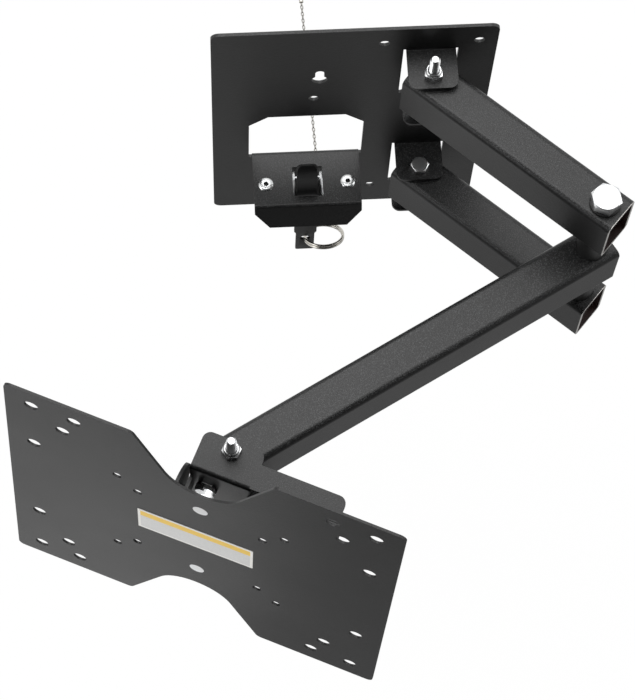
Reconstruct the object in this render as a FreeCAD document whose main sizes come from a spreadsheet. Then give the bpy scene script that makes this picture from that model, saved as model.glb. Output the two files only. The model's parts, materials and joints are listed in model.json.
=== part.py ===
import FreeCAD, Part
import math
import os
import Sketcher

# Swivel wall mount for a flat television: wall plate, twin tube arm, forearm, head and screen plate.
# Millimetres. X runs along the wall, Y into the wall, Z up.
# The origin is the centre of the wall bolt pattern on the back face of the wall plate.

DIMENSIONS = {
    "sheet": 2.0,
    "round_spare": 0.05,
    "overrun": 1.0,
    "screen_sheet": 1.5,
    "bend_inner": 0.6,
    "wall_plate_left": 126.75,
    "wall_plate_right": 37.95,
    "wall_plate_top": 115.0,
    "wall_plate_bottom": 122.6,
    "wall_plate_corner": 5.0,
    "wall_hole_across": 54.4,
    "wall_hole_upright": 196.8,
    "wall_hole_radius": 3.1,
    "spare_hole_left": 66.25,
    "spare_hole_high": 30.5,
    "keyhole_left": 63.35,
    "keyhole_high": 55.0,
    "keyhole_radius": 4.6,
    "keyhole_slot_wide": 5.3,
    "keyhole_slot_rise": 8.5,
    "pivot_out": 18.5,
    "tube_wide": 25.4,
    "tube_tall": 38.1,
    "tube_wall": 2.0,
    "tube_corner": 3.8,
    "tube_gap": 25.4,
    "tubes_middle": 2.25,
    "arm_length": 123.5,
    "arm_angle": -41.93,
    "arm_rear_end": 12.0,
    "elbow_end": 12.0,
    "forearm_length": 246.8,
    "forearm_angle": 208.53,
    "forearm_head_end": 6.0,
    "ear_wide": 28.7,
    "ear_relief": 1.5,
    "ear_top_reach": 27.0,
    "ear_low_reach": 24.0,
    "ear_corner": 5.0,
    "ear_top_gap": 2.5,
    "ear_low_gap": 10.5,
    "small_bolt_radius": 3.0,
    "small_bolt_hole": 3.1,
    "small_hex": 10.0,
    "small_head_tall": 4.0,
    "small_nut_tall": 6.5,
    "small_stud_out": 16.0,
    "small_stud_low": 7.6,
    "small_nut_turn": 27.0,
    "nut_hex_share": 0.7,
    "nut_collar_share": 0.42,
    "hex_face_share": 0.475,
    "bush_running": 0.05,
    "bush_seat": 0.05,
    "small_bush_radius": 6.0,
    "small_washer_radius": 8.0,
    "small_spacer_radius": 6.5,
    "elbow_bolt_radius": 5.0,
    "elbow_hole": 5.1,
    "elbow_hex": 16.0,
    "elbow_head_tall": 6.4,
    "elbow_nut_tall": 9.0,
    "elbow_stud_low": 11.5,
    "elbow_bolt_turn": 19.0,
    "elbow_cap_thick": 2.5,
    "elbow_cap_radius": 9.6,
    "elbow_washer_thick": 1.6,
    "elbow_washer_radius": 10.0,
    "elbow_spacer_radius": 9.2,
    "elbow_bush_radius": 8.0,
    "cutout_left": 104.55,
    "cutout_right": 34.75,
    "cutout_top": 6.8,
    "cutout_chamfer_wide": 11.5,
    "cutout_chamfer_tall": 11.0,
    "tongue_high": -46.2,
    "tongue_wide": 66.2,
    "tongue_out": 37.5,
    "lip_length": 16.5,
    "lip_angle": 61.0,
    "lip_narrow_wide": 44.0,
    "lip_square_tall": 5.0,
    "latch_slot_left": 69.0,
    "latch_slot_wide": 18.6,
    "latch_slot_front": 31.3,
    "latch_slot_back": 11.5,
    "rivet_left": 69.5,
    "rivet_spacing": 50.7,
    "rivet_out": 22.5,
    "rivet_hole": 2.5,
    "rivet_shank": 2.4,
    "rivet_head_radius": 4.65,
    "rivet_head_tall": 1.1,
    "rivet_mandrel": 1.3,
    "rivet_face_share": 0.6,
    "rivet_upset_radius": 3.5,
    "rivet_dimple": 0.9,
    "housing_sheet": 1.5,
    "housing_front": 33.0,
    "housing_back": 12.0,
    "housing_flange_wide": 61.0,
    "housing_inside": 15.4,
    "housing_deep": 30.0,
    "bolt_wide": 13.8,
    "bolt_front": 30.7,
    "bolt_back": 24.2,
    "bolt_root": 0.5,
    "bolt_top": -12.7,
    "bolt_low": -52.0,
    "bolt_crown_drop": 4.0,
    "bolt_crown_round": 5.0,
    "bolt_crown_flat": 1.0,
    "nose_front_drop": 12.0,
    "nose_crown": 1.8,
    "nose_flat_share": 0.4,
    "tail_thick": 2.0,
    "tail_wide": 14.4,
    "tail_top": -44.0,
    "tail_shoulder": -119.5,
    "tail_shoulder_slope": 2.5,
    "tail_narrow_wide": 12.0,
    "tail_low": -147.8,
    "tail_hole_high": -129.6,
    "tail_hole_radius": 3.2,
    "tail_slot_play": 0.4,
    "latch_pin_radius": 1.25,
    "latch_pin_hole": 1.3,
    "latch_pin_out": 16.1,
    "latch_pin_high": -52.5,
    "latch_pin_proud": 0.5,
    "spring_radius": 2.5,
    "spring_wire": 0.35,
    "spring_pitch": 2.9,
    "spring_out": 27.6,
    "link_radius": 12.3,
    "link_wire": 0.95,
    "coil_lift_share": 0.8,
    "link_tilt": -32.0,
    "chain_radius": 0.9,
    "chain_far": 150.0,
    "chain_yaw": 1.78,
    "chain_fitting_radius": 2.0,
    "chain_fitting_neck_share": 0.7,
    "chain_fitting_long": 9.0,
    "head_half_wide": 18.6,
    "web_out": 17.3,
    "flange_back": 7.0,
    "flange_gap": 1.9,
    "flange_corner": 5.0,
    "wing_right": 71.5,
    "wing_front": 16.3,
    "wing_back": 0.8,
    "catch_side": 54.4,
    "catch_wide": 14.0,
    "catch_front": 13.4,
    "catch_back": 5.4,
    "side_ear_reach": 20.7,
    "side_ear_half": 8.7,
    "lock_bolt_side": -8.0,
    "lock_bolt_high": 1.5,
    "lock_hex": 11.0,
    "lock_head_tall": 4.4,
    "lock_nut_tall": 3.0,
    "lock_bolt_radius": 3.0,
    "tilt_out": 29.3,
    "tilt_angle": -5.44,
    "head_angle": -24.92,
    "tilt_half_wide": 23.5,
    "tilt_base_out": 17.0,
    "tilt_ear_back": 20.0,
    "tilt_ear_half": 20.0,
    "tilt_ear_corner": 19.9,
    "tilt_tab_half_wide": 12.0,
    "tilt_tab_half": 51.0,
    "plate_stud_high": 44.3,
    "plate_stud_head": 4.5,
    "plate_stud_long": 9.0,
    "screen_plate_size": 231.5,
    "screen_plate_corner": 4.0,
    "screen_plate_drop": 0.9,
    "notch_half_wide": 41.2,
    "notch_apex": 35.7,
    "notch_round": 25.0,
    "screen_hole": 4.2,
    "screen_small_hole": 2.75,
    "label_wide": 70.4,
    "label_tall": 25.0,
    "label_thick": 0.3,
    "label_side": -1.9,
    "label_high": 2.8,
    "label_turn": 1.7,
}

SCREEN_HOLES = ((100, 100), (100, 50), (75, 100), (82, 82))
SCREEN_SMALL_HOLES = ((50, 50), (37.5, 37.5))


class Size:
    """A length or angle that knows both its number and its spreadsheet formula."""

    def __init__(self, text, value):
        self.text = text
        self.value = value

    def _with(self, other, sign, value):
        return Size("(%s %s %s)" % (self.text, sign, other.text), value)

    def __add__(self, other):
        other = size(other)
        return self._with(other, "+", self.value + other.value)

    def __sub__(self, other):
        other = size(other)
        return self._with(other, "-", self.value - other.value)

    def __mul__(self, other):
        other = size(other)
        return self._with(other, "*", self.value * other.value)

    def __truediv__(self, other):
        other = size(other)
        return self._with(other, "/", self.value / other.value)

    def __radd__(self, other):
        return size(other) + self

    def __rsub__(self, other):
        return size(other) - self

    def __rmul__(self, other):
        return size(other) * self

    def __neg__(self):
        return Size("(0 - %s)" % self.text, -self.value)

    def cosine(self):
        return Size("cos(%s)" % self.text, math.cos(math.radians(self.value)))

    def sine(self):
        return Size("sin(%s)" % self.text, math.sin(math.radians(self.value)))


def size(value):
    if isinstance(value, Size):
        return value
    return Size("%.6g" % value, float(value))


os.makedirs("parts", exist_ok=True)
doc = FreeCAD.newDocument("WallMount")
sheet_page = doc.addObject("Spreadsheet::Sheet", "Dims")
for row, (word, number) in enumerate(DIMENSIONS.items(), start=1):
    sheet_page.set("A%d" % row, word)
    sheet_page.set("B%d" % row, str(number))
    sheet_page.setAlias("B%d" % row, word)
doc.recompute()


def dim(word):
    return Size("Dims.%s" % word, DIMENSIONS[word])


def bind(thing, prop, value):
    thing.setExpression(prop, size(value).text)


def place(thing, x=0, y=0, z=0, yaw=0, pitch=0, roll=0):
    values = [size(v).text for v in (x, y, z, yaw, pitch, roll)]
    text = "create(<<placement>>; create(<<vector>>; %s; %s; %s); create(<<rotation>>; %s; %s; %s))"
    thing.setExpression("Placement", text % tuple(values))


# Places of the moving groups
sheet = dim("sheet")
bend = dim("bend_inner")
bend_out = bend + sheet
pitch_up = dim("tube_tall") + dim("tube_gap")
half_tube = dim("tube_tall") / 2
middle = dim("tubes_middle")
fore_top = middle + half_tube
fore_low = middle - half_tube
elbow_x = dim("arm_length") * dim("arm_angle").cosine()
elbow_y = dim("arm_length") * dim("arm_angle").sine() - dim("pivot_out")
head_x = elbow_x + dim("forearm_length") * dim("forearm_angle").cosine()
head_y = elbow_y + dim("forearm_length") * dim("forearm_angle").sine()
tilt_x = head_x + dim("tilt_out") * dim("head_angle").sine()
tilt_y = head_y - dim("tilt_out") * dim("head_angle").cosine()
latch_x = -dim("latch_slot_left")


def on_wall(thing):
    place(thing)


def on_arm(thing):
    place(thing, 0, -dim("pivot_out"), 0, dim("arm_angle"))


def on_forearm(thing):
    place(thing, elbow_x, elbow_y, 0, dim("forearm_angle"))


def on_head(thing):
    place(thing, head_x, head_y, 0, dim("head_angle"))


def on_tilt(thing):
    place(thing, tilt_x, tilt_y, middle, dim("head_angle"), 0, dim("tilt_angle"))


def on_screen(thing):
    drop = dim("screen_plate_drop")
    back = drop * dim("tilt_angle").sine()
    x = tilt_x - back * dim("head_angle").sine()
    y = tilt_y + back * dim("head_angle").cosine()
    z = middle - drop * dim("tilt_angle").cosine()
    place(thing, x, y, z, dim("head_angle"), 0, dim("tilt_angle"))


# Sketches and sheet features
def add_body(name, frame):
    body = doc.addObject("PartDesign::Body", name)
    body.Label = name
    frame(body)
    return body


def add_sketch(body, role, offset=0):
    sketch = body.newObject("Sketcher::SketchObject", body.Name + "_sketch")
    plane = [f for f in body.Origin.OriginFeatures if f.Role == role][0]
    sketch.AttachmentSupport = [(plane, "")]
    sketch.MapMode = "FlatFace"
    bind(sketch, "AttachmentOffset.Base.z", offset)
    return sketch


def pin_point(sketch, geometry, point, x, y):
    for kind, value in (("DistanceX", size(x)), ("DistanceY", size(y))):
        rule = Sketcher.Constraint(kind, -1, 1, geometry, point, value.value)
        number = sketch.addConstraint(rule)
        sketch.setExpression("Constraints[%d]" % number, value.text)


def corner_cut(before, at, after, radius):
    """Tangent points and centre of a round corner."""
    a = (before - at).normalize()
    b = (after - at).normalize()
    half = a.getAngle(b) / 2
    reach = radius / math.tan(half)
    middle_way = (a + b).normalize()
    return at + a * reach, at + b * reach, at + middle_way * (radius / math.sin(half))


def draw_outline(sketch, corners):
    """Closed outline; each corner is (x, y) or (x, y, radius), all bound to the sheet."""
    points = [FreeCAD.Vector(size(c[0]).value, size(c[1]).value, 0) for c in corners]
    count = len(points)
    entry = list(points)
    leave = list(points)
    centres = {}
    for i, corner in enumerate(corners):
        if len(corner) == 3:
            around = (points[i - 1], points[i], points[(i + 1) % count])
            entry[i], leave[i], centres[i] = corner_cut(*around, size(corner[2]).value)
    lines = []
    for i in range(count):
        lines.append(sketch.addGeometry(Part.LineSegment(leave[i], entry[(i + 1) % count])))
    for i, corner in enumerate(corners):
        before, after = lines[i - 1], lines[i]
        if len(corner) == 2:
            sketch.addConstraint(Sketcher.Constraint("Coincident", before, 2, after, 1))
            pin_point(sketch, after, 1, corner[0], corner[1])
            continue
        add_round(sketch, corner, points[i], entry[i], leave[i], centres[i], before, after)


def add_round(sketch, corner, tip, start, end, centre, before, after):
    radius = size(corner[2])
    mid = centre + (tip - centre).normalize() * radius.value
    arc = sketch.addGeometry(Part.Arc(start, mid, end))
    first = 1 if start.isEqual(sketch.getPoint(arc, 1), 1e-5) else 2
    sketch.addConstraint(Sketcher.Constraint("Tangent", before, 2, arc, first))
    sketch.addConstraint(Sketcher.Constraint("Tangent", after, 1, arc, 3 - first))
    number = sketch.addConstraint(Sketcher.Constraint("Radius", arc, radius.value))
    sketch.setExpression("Constraints[%d]" % number, radius.text)
    dot = sketch.addGeometry(Part.Point(tip), True)
    pin_point(sketch, dot, 1, corner[0], corner[1])
    sketch.addConstraint(Sketcher.Constraint("PointOnObject", dot, 1, before))
    sketch.addConstraint(Sketcher.Constraint("PointOnObject", dot, 1, after))


def draw_circle(sketch, x, y, radius):
    spot = FreeCAD.Vector(size(x).value, size(y).value, 0)
    up = FreeCAD.Vector(0, 0, 1)
    circle = sketch.addGeometry(Part.Circle(spot, up, size(radius).value))
    pin_point(sketch, circle, 3, x, y)
    number = sketch.addConstraint(Sketcher.Constraint("Radius", circle, size(radius).value))
    sketch.setExpression("Constraints[%d]" % number, size(radius).text)


def rectangle(left, low, right, high):
    return [(left, low), (right, low), (right, high), (left, high)]


def add_pad(body, sketch, length, sides="One side"):
    doc.recompute()
    pad = body.newObject("PartDesign::Pad", body.Name + "_pad")
    pad.Profile = sketch
    pad.SideType = sides
    bind(pad, "Length", length)
    doc.recompute()
    return pad


def add_pocket(body, sketch, length=None):
    """Cut both ways through everything, or a stated length along the sketch normal."""
    doc.recompute()
    before = body.Shape.Volume
    pocket = body.newObject("PartDesign::Pocket", body.Name + "_pocket")
    pocket.Profile = sketch
    if length is None:
        pocket.SideType = "Symmetric"
        pocket.Type = "ThroughAll"
    else:
        pocket.Reversed = True
        bind(pocket, "Length", length)
    doc.recompute()
    if body.Shape.Volume >= before - 0.01:
        raise RuntimeError("nothing cut in " + body.Name)
    return pocket


def round_edges(body, radius, wanted):
    """Fillet the edges of the newest feature whose middle passes the test."""
    doc.recompute()
    base = body.Tip
    names = []
    for number, edge in enumerate(base.Shape.Edges, start=1):
        if wanted(edge):
            names.append("Edge%d" % number)
    if not names:
        raise RuntimeError("no edges to round in " + body.Name)
    fillet = body.newObject("PartDesign::Fillet", body.Name + "_round")
    fillet.Base = (base, names)
    bind(fillet, "Radius", radius)
    doc.recompute()
    return fillet


# Wall plate
def ear_profile(level, reach, sign):
    """Side view of one clevis ear; level is its inner-bend face, sign is the way up."""
    level = size(level)
    away = level + sign * 2 * bend
    inner = level - sign * sheet
    return [
        (0, away),
        (-sheet, away),
        (-sheet, level, bend),
        (-reach, level),
        (-reach, inner),
        (0, inner, bend_out),
    ]


def cut_wall_plate(body, ears):
    sketch = add_sketch(body, "XZ_Plane")
    half = dim("ear_wide") / 2 + dim("ear_relief")
    for top, low in ears:
        draw_outline(sketch, rectangle(-half, low - bend, half, top + bend))
    left = -dim("cutout_left")
    right = -dim("cutout_right")
    top = dim("cutout_top")
    low = dim("tongue_high") - bend_out - bend
    wide = dim("cutout_chamfer_wide")
    tall = dim("cutout_chamfer_tall")
    draw_outline(sketch, [
        (left, low), (right, low), (right, top - tall), (right - wide, top),
        (left + wide, top), (left, top - tall),
    ])
    for side in (-1, 1):
        for up in (-1, 1):
            x = side * dim("wall_hole_across") / 2
            z = up * dim("wall_hole_upright") / 2
            draw_circle(sketch, x, z, dim("wall_hole_radius"))
    draw_circle(sketch, -dim("spare_hole_left"), dim("spare_hole_high"), dim("wall_hole_radius"))
    add_pocket(body, sketch)
    keyhole = add_sketch(body, "XZ_Plane")
    x = -dim("keyhole_left")
    draw_circle(keyhole, x, dim("keyhole_high"), dim("keyhole_radius"))
    add_pocket(body, keyhole)
    slot = add_sketch(body, "XZ_Plane")
    half_slot = dim("keyhole_slot_wide") / 2
    tip = dim("keyhole_high") + dim("keyhole_slot_rise") + half_slot
    round_tip = half_slot - dim("round_spare")
    draw_outline(slot, [
        (x - half_slot, dim("keyhole_high")), (x + half_slot, dim("keyhole_high")),
        (x + half_slot, tip, round_tip), (x - half_slot, tip, round_tip),
    ])
    add_pocket(body, slot)


def add_tongue(body):
    top = dim("tongue_high")
    root = top - bend_out - 2 * bend
    out = dim("tongue_out")
    cosine = dim("lip_angle").cosine()
    sine = dim("lip_angle").sine()
    set_back = sheet * (dim("lip_angle") / 2).sine() / (dim("lip_angle") / 2).cosine()
    end_y = -out - dim("lip_length") * cosine
    end_z = top - dim("lip_length") * sine
    sketch = add_sketch(body, "YZ_Plane", -dim("rivet_left"))
    draw_outline(sketch, [
        (0, root), (0, top, bend_out), (-out, top, bend_out),
        (end_y, end_z), (end_y + sheet * sine, end_z - sheet * cosine),
        (-out + set_back, top - sheet, bend), (-sheet, top - sheet, bend), (-sheet, root),
    ])
    add_pad(body, sketch, dim("tongue_wide"), "Symmetric")
    trim = add_sketch(body, "XZ_Plane", out + dim("overrun"))
    edge = dim("tongue_wide") / 2
    narrow = dim("lip_narrow_wide") / 2
    bottom = end_z - sheet
    start = top - dim("lip_square_tall")
    outside = edge + dim("overrun")
    for side in (-1, 1):
        x = -dim("rivet_left")
        draw_outline(trim, [
            (x + side * outside, start), (x + side * edge, start),
            (x + side * narrow, bottom), (x + side * outside, bottom),
        ])
    add_pocket(body, trim, dim("lip_length"))
    holes = add_sketch(body, "XY_Plane", top)
    half = dim("latch_slot_wide") / 2
    draw_outline(holes, [
        (latch_x - half, -dim("latch_slot_front"), bend),
        (latch_x + half, -dim("latch_slot_front"), bend),
        (latch_x + half, -dim("latch_slot_back"), bend),
        (latch_x - half, -dim("latch_slot_back"), bend),
    ])
    for side in (-1, 1):
        x = side * dim("rivet_spacing") / 2 - dim("rivet_left")
        draw_circle(holes, x, -dim("rivet_out"), dim("rivet_hole"))
    add_pocket(body, holes)


ear_top = middle + pitch_up + half_tube + dim("ear_top_gap") + sheet
ear_low = middle + pitch_up - half_tube - dim("ear_low_gap") - sheet
ear_levels = [(ear_top, ear_low), (ear_top - 2 * pitch_up, ear_low - 2 * pitch_up)]


def make_wall_plate():
    body = add_body("wall_plate", on_wall)
    sketch = add_sketch(body, "XZ_Plane")
    corner = dim("wall_plate_corner")
    left = -dim("wall_plate_left")
    right = dim("wall_plate_right")
    low = -dim("wall_plate_bottom")
    top = dim("wall_plate_top")
    draw_outline(sketch, [
        (left, low, corner), (right, low, corner), (right, top, corner), (left, top, corner),
    ])
    add_pad(body, sketch, sheet)
    cut_wall_plate(body, ear_levels)
    for top, low in ear_levels:
        for level, reach, sign in ((top, "ear_top_reach", 1), (low, "ear_low_reach", -1)):
            side = add_sketch(body, "YZ_Plane")
            draw_outline(side, ear_profile(level, dim(reach), sign))
            add_pad(body, side, dim("ear_wide"), "Symmetric")
    add_tongue(body)
    pins = add_sketch(body, "XY_Plane")
    draw_circle(pins, 0, -dim("pivot_out"), dim("small_bolt_hole"))
    add_pocket(body, pins)
    tips = (-DIMENSIONS["ear_top_reach"], -DIMENSIONS["ear_low_reach"])
    half = DIMENSIONS["ear_wide"] / 2
    round_edges(body, dim("ear_corner"), lambda edge: upright_at(edge, half, tips))
    return body


def upright_at(edge, half, ys):
    box = edge.BoundBox
    at_side = abs(abs(box.Center.x) - half) < 0.01
    at_y = any(abs(box.Center.y - y) < 0.01 for y in ys)
    return at_side and at_y and abs(box.ZLength - DIMENSIONS["sheet"]) < 0.01


# Round and hexagonal pieces from primitives
TURNS = {"up": (0, 0, 0), "down": (0, 0, 180), "right": (0, 90, 0), "back": (0, 0, -90), "front": (0, 0, 90)}


def primitive(kind, at, turn, spin=0, **sizes):
    """Part primitive at a point; spin turns upright pieces about their own axis."""
    thing = doc.addObject("Part::" + kind, kind)
    for prop, value in sizes.items():
        bind(thing, prop, value)
    yaw, pitch, roll = TURNS[turn]
    place(thing, *at, spin + yaw, pitch, roll)
    return thing


def rod(radius, length, at=(0, 0, 0), turn="up"):
    return primitive("Cylinder", at, turn, Radius=radius, Height=length)


def join(*things):
    fusion = doc.addObject("Part::MultiFuse", "Join")
    fusion.Shapes = list(things)
    return fusion


def cut(base, tool):
    result = doc.addObject("Part::Cut", "Cut")
    result.Base = base
    result.Tool = tool
    return result


def sleeve(outer, inner, length, at=(0, 0, 0), turn="up"):
    return cut(rod(outer, length, at, turn), rod(inner, length, at, turn))


def hexagon(across, tall, at=(0, 0, 0), turn="up", spin=0):
    """Hexagonal block with its far corners turned off at thirty degrees."""
    prism = primitive("Prism", at, turn, spin, Circumradius=across / math.sqrt(3), Height=tall)
    prism.Polygon = 6
    top = across * dim("hex_face_share")
    cone = primitive("Cone", at, turn, Radius1=top + tall * math.sqrt(3), Radius2=top, Height=tall)
    common = doc.addObject("Part::MultiCommon", "Hexagon")
    common.Shapes = [prism, cone]
    return common


def hex_bolt(across, head_tall, radius, length, at, turn, spin=0):
    """Bolt whose head stands on the seat at the given point and whose shank runs the other way."""
    other = {"up": "down", "down": "up", "front": "back", "back": "front"}[turn]
    return join(hexagon(across, head_tall, at, turn, spin), rod(radius, length, at, other))


def lock_nut(across, tall, radius, at, turn="up", spin=0):
    """Hexagonal nut with the tapered collar that holds the locking ring."""
    hex_tall = tall * dim("nut_hex_share")
    rim = across * dim("nut_collar_share")
    collar = primitive("Cone", at, turn, Radius1=across / 2, Radius2=rim, Height=tall)
    return cut(join(hexagon(across, hex_tall, at, turn, spin), collar), rod(radius, tall, at, turn))


def group(name, frame, things):
    node = doc.addObject("Part::Compound", name)
    node.Links = things
    node.Label = name
    frame(node)
    return node


small_radius = dim("small_bolt_radius")
small_turn = dim("small_nut_turn")
small_bore = small_radius + dim("bush_running")
pivot_y = -dim("pivot_out")


def make_clevis_bolts():
    span = ear_top - ear_low
    high = hex_bolt(dim("small_hex"), dim("small_head_tall"), small_radius,
                    span + dim("small_stud_out"), (0, pivot_y, ear_low), "down")
    low = hex_bolt(dim("small_hex"), dim("small_head_tall"), small_radius,
                   span + dim("small_stud_low"), (0, pivot_y, ear_top - 2 * pitch_up), "up")
    return group("clevis_bolts", on_wall, [high, low])


def make_clevis_nuts():
    across = dim("small_hex")
    tall = dim("small_nut_tall")
    high = lock_nut(across, tall, small_radius, (0, pivot_y, ear_top), "up", small_turn)
    low = lock_nut(across, tall, small_radius, (0, pivot_y, ear_low - 2 * pitch_up), "down")
    return group("clevis_nuts", on_wall, [high, low])


def make_clevis_washers():
    rings = []
    for drop in (0, 2):
        tube_top = middle + pitch_up + half_tube - drop * pitch_up
        rings.append(sleeve(dim("small_washer_radius"), dim("small_bolt_hole"),
                            dim("ear_top_gap"), (0, pivot_y, tube_top)))
    return group("clevis_washers", on_wall, rings)


def make_clevis_spacers():
    rings = []
    for drop in (0, 2):
        low = ear_low + sheet - drop * pitch_up
        rings.append(sleeve(dim("small_spacer_radius"), dim("small_bolt_hole"),
                            dim("ear_low_gap"), (0, pivot_y, low)))
    return group("clevis_spacers", on_wall, rings)


# Tubes
def make_tube(name, frame, centre, behind, ahead, holes):
    """Rectangular tube along local X with upright bores; holes are (x, radius)."""
    body = add_body(name, frame)
    sketch = add_sketch(body, "YZ_Plane", -behind)
    corner = dim("tube_corner")
    for inset in (size(0), dim("tube_wall")):
        wide = dim("tube_wide") / 2 - inset
        tall = half_tube - inset
        turn = corner - inset
        draw_outline(sketch, [
            (-wide, centre - tall, turn), (wide, centre - tall, turn),
            (wide, centre + tall, turn), (-wide, centre + tall, turn),
        ])
    add_pad(body, sketch, behind + ahead)
    bores = add_sketch(body, "XY_Plane", centre)
    for x, radius in holes:
        draw_circle(bores, x, 0, radius)
    add_pocket(body, bores)
    return body


def make_arm_tubes():
    seat = dim("small_bush_radius") + dim("bush_seat")
    holes = [(0, seat), (dim("arm_length"), dim("elbow_hole"))]
    ahead = dim("arm_length") + dim("elbow_end")
    for name, centre in (("upper_arm_tube", middle + pitch_up), ("lower_arm_tube", middle - pitch_up)):
        yield make_tube(name, on_arm, centre, dim("arm_rear_end"), ahead, holes)


def make_forearm_tube():
    elbow_seat = dim("elbow_bush_radius") + dim("bush_seat")
    head_seat = dim("small_bush_radius") + dim("bush_seat")
    holes = [(0, elbow_seat), (dim("forearm_length"), head_seat)]
    ahead = dim("forearm_length") + dim("forearm_head_end")
    return make_tube("forearm_tube", on_forearm, middle, dim("elbow_end"), ahead, holes)


def make_arm_bushes():
    bushes = []
    for low in (middle + pitch_up - half_tube, middle - pitch_up - half_tube):
        bushes.append(sleeve(dim("small_bush_radius"), small_bore, dim("tube_tall"), (0, 0, low)))
    return group("arm_bushes", on_arm, bushes)


def make_elbow_bush():
    bore = dim("elbow_bolt_radius") + dim("bush_running")
    bush = sleeve(dim("elbow_bush_radius"), bore, dim("tube_tall"), (0, 0, fore_low))
    return group("elbow_bush", on_forearm, [bush])


def make_head_bush():
    at = (dim("forearm_length"), 0, fore_low)
    bush = sleeve(dim("small_bush_radius"), small_bore, dim("tube_tall"), at)
    return group("head_bush", on_forearm, [bush])


def make_elbow_bolt():
    washer = dim("elbow_washer_thick")
    top = middle + pitch_up + half_tube + dim("elbow_cap_thick")
    low = middle - pitch_up - half_tube
    length = top - low + dim("elbow_stud_low")
    at = (dim("arm_length"), 0, top)
    bolt = hex_bolt(dim("elbow_hex"), dim("elbow_head_tall"), dim("elbow_bolt_radius"),
                    length + washer, at, "up", dim("elbow_bolt_turn"))
    return group("elbow_bolt", on_arm, [bolt])


def make_elbow_cap_washer():
    ring = sleeve(dim("elbow_cap_radius"), dim("elbow_hole"), dim("elbow_cap_thick"),
                  (dim("arm_length"), 0, middle + pitch_up + half_tube))
    return group("elbow_cap_washer", on_arm, [ring])


def make_elbow_nut():
    low = middle - pitch_up - half_tube - dim("elbow_washer_thick")
    at = (dim("arm_length"), 0, low)
    nut = lock_nut(dim("elbow_hex"), dim("elbow_nut_tall"), dim("elbow_bolt_radius"), at, "down")
    return group("elbow_nut", on_arm, [nut])


def make_elbow_washer():
    low = middle - pitch_up - half_tube - dim("elbow_washer_thick")
    ring = sleeve(dim("elbow_washer_radius"), dim("elbow_hole"), dim("elbow_washer_thick"),
                  (dim("arm_length"), 0, low))
    return group("elbow_washer", on_arm, [ring])


def make_elbow_spacers():
    rings = []
    for low in (fore_top, fore_low - dim("tube_gap")):
        rings.append(sleeve(dim("elbow_spacer_radius"), dim("elbow_hole"), dim("tube_gap"),
                            (dim("arm_length"), 0, low)))
    return group("elbow_spacers", on_arm, rings)


# Latch
def make_latch_housing():
    body = add_body("latch_housing", on_wall)
    top = dim("tongue_high") - sheet
    skin = dim("housing_sheet")
    sketch = add_sketch(body, "XZ_Plane", dim("housing_back"))
    wide = dim("housing_flange_wide") / 2
    inside = dim("housing_inside") / 2
    outside = inside + skin
    deep = top - dim("housing_deep")
    turn = skin + bend
    x = latch_x
    draw_outline(sketch, [
        (x - wide, top), (x - inside, top, turn), (x - inside, deep + skin, bend),
        (x + inside, deep + skin, bend), (x + inside, top, turn), (x + wide, top),
        (x + wide, top - skin), (x + outside, top - skin, bend), (x + outside, deep, turn),
        (x - outside, deep, turn), (x - outside, top - skin, bend), (x - wide, top - skin),
    ])
    add_pad(body, sketch, dim("housing_front") - dim("housing_back"))
    holes = add_sketch(body, "XY_Plane", top)
    for side in (-1, 1):
        rivet_x = side * dim("rivet_spacing") / 2 - dim("rivet_left")
        draw_circle(holes, rivet_x, -dim("rivet_out"), dim("rivet_hole"))
    add_pocket(body, holes)
    pin = add_sketch(body, "YZ_Plane")
    draw_circle(pin, -dim("latch_pin_out"), dim("latch_pin_high"), dim("latch_pin_hole"))
    add_pocket(body, pin)
    slot = add_sketch(body, "XY_Plane", top)
    play = dim("tail_slot_play")
    half = dim("tail_wide") / 2 + play / 2
    back = -dim("bolt_back") + dim("tail_thick") + play
    draw_outline(slot, rectangle(x - half, -dim("bolt_back") - play, x + half, back))
    add_pocket(body, slot)
    return body


def make_latch_pin():
    proud = dim("latch_pin_proud")
    reach = dim("housing_inside") / 2 + dim("housing_sheet") + proud
    at = (latch_x - reach, -dim("latch_pin_out"), dim("latch_pin_high"))
    return group("latch_pin", on_wall, [rod(dim("latch_pin_radius"), reach * 2, at, "right")])


def make_latch_rivets():
    top = dim("tongue_high")
    rivets = []
    wide = dim("rivet_head_radius")
    tall = dim("rivet_head_tall")
    under = top - sheet - dim("housing_sheet") - tall
    for side in (-1, 1):
        x = side * dim("rivet_spacing") / 2 - dim("rivet_left")
        y = -dim("rivet_out")
        flange = primitive("Cone", (x, y, top), "up", Radius1=wide, Radius2=wide * dim("rivet_face_share"),
                           Height=tall)
        shank = rod(dim("rivet_shank"), top - under, (x, y, under))
        upset = rod(dim("rivet_upset_radius"), tall, (x, y, under))
        dimple = rod(dim("rivet_mandrel"), tall, (x, y, top + tall - dim("rivet_dimple")))
        rivets.append(cut(join(flange, shank, upset), dimple))
    return group("latch_rivets", on_wall, rivets)


def arch_bolt_top(body, top):
    """Rounds both shoulders of the bolt top away, so that it is arched across its width."""
    over = dim("overrun")
    arch = add_sketch(body, "XZ_Plane", dim("bolt_back") - over)
    half = dim("bolt_wide") / 2
    flat = dim("bolt_crown_flat") / 2
    low = top - dim("bolt_crown_drop")
    for side in (-1, 1):
        outside = latch_x + side * (half + over)
        draw_outline(arch, [
            (outside, top + over), (outside, low), (latch_x + side * half, low),
            (latch_x + side * half / 2, top, dim("bolt_crown_round")),
            (latch_x + side * flat, top), (latch_x + side * flat, top + over),
        ])
    add_pocket(body, arch, dim("bolt_front") - dim("bolt_back") + 2 * over)


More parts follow.
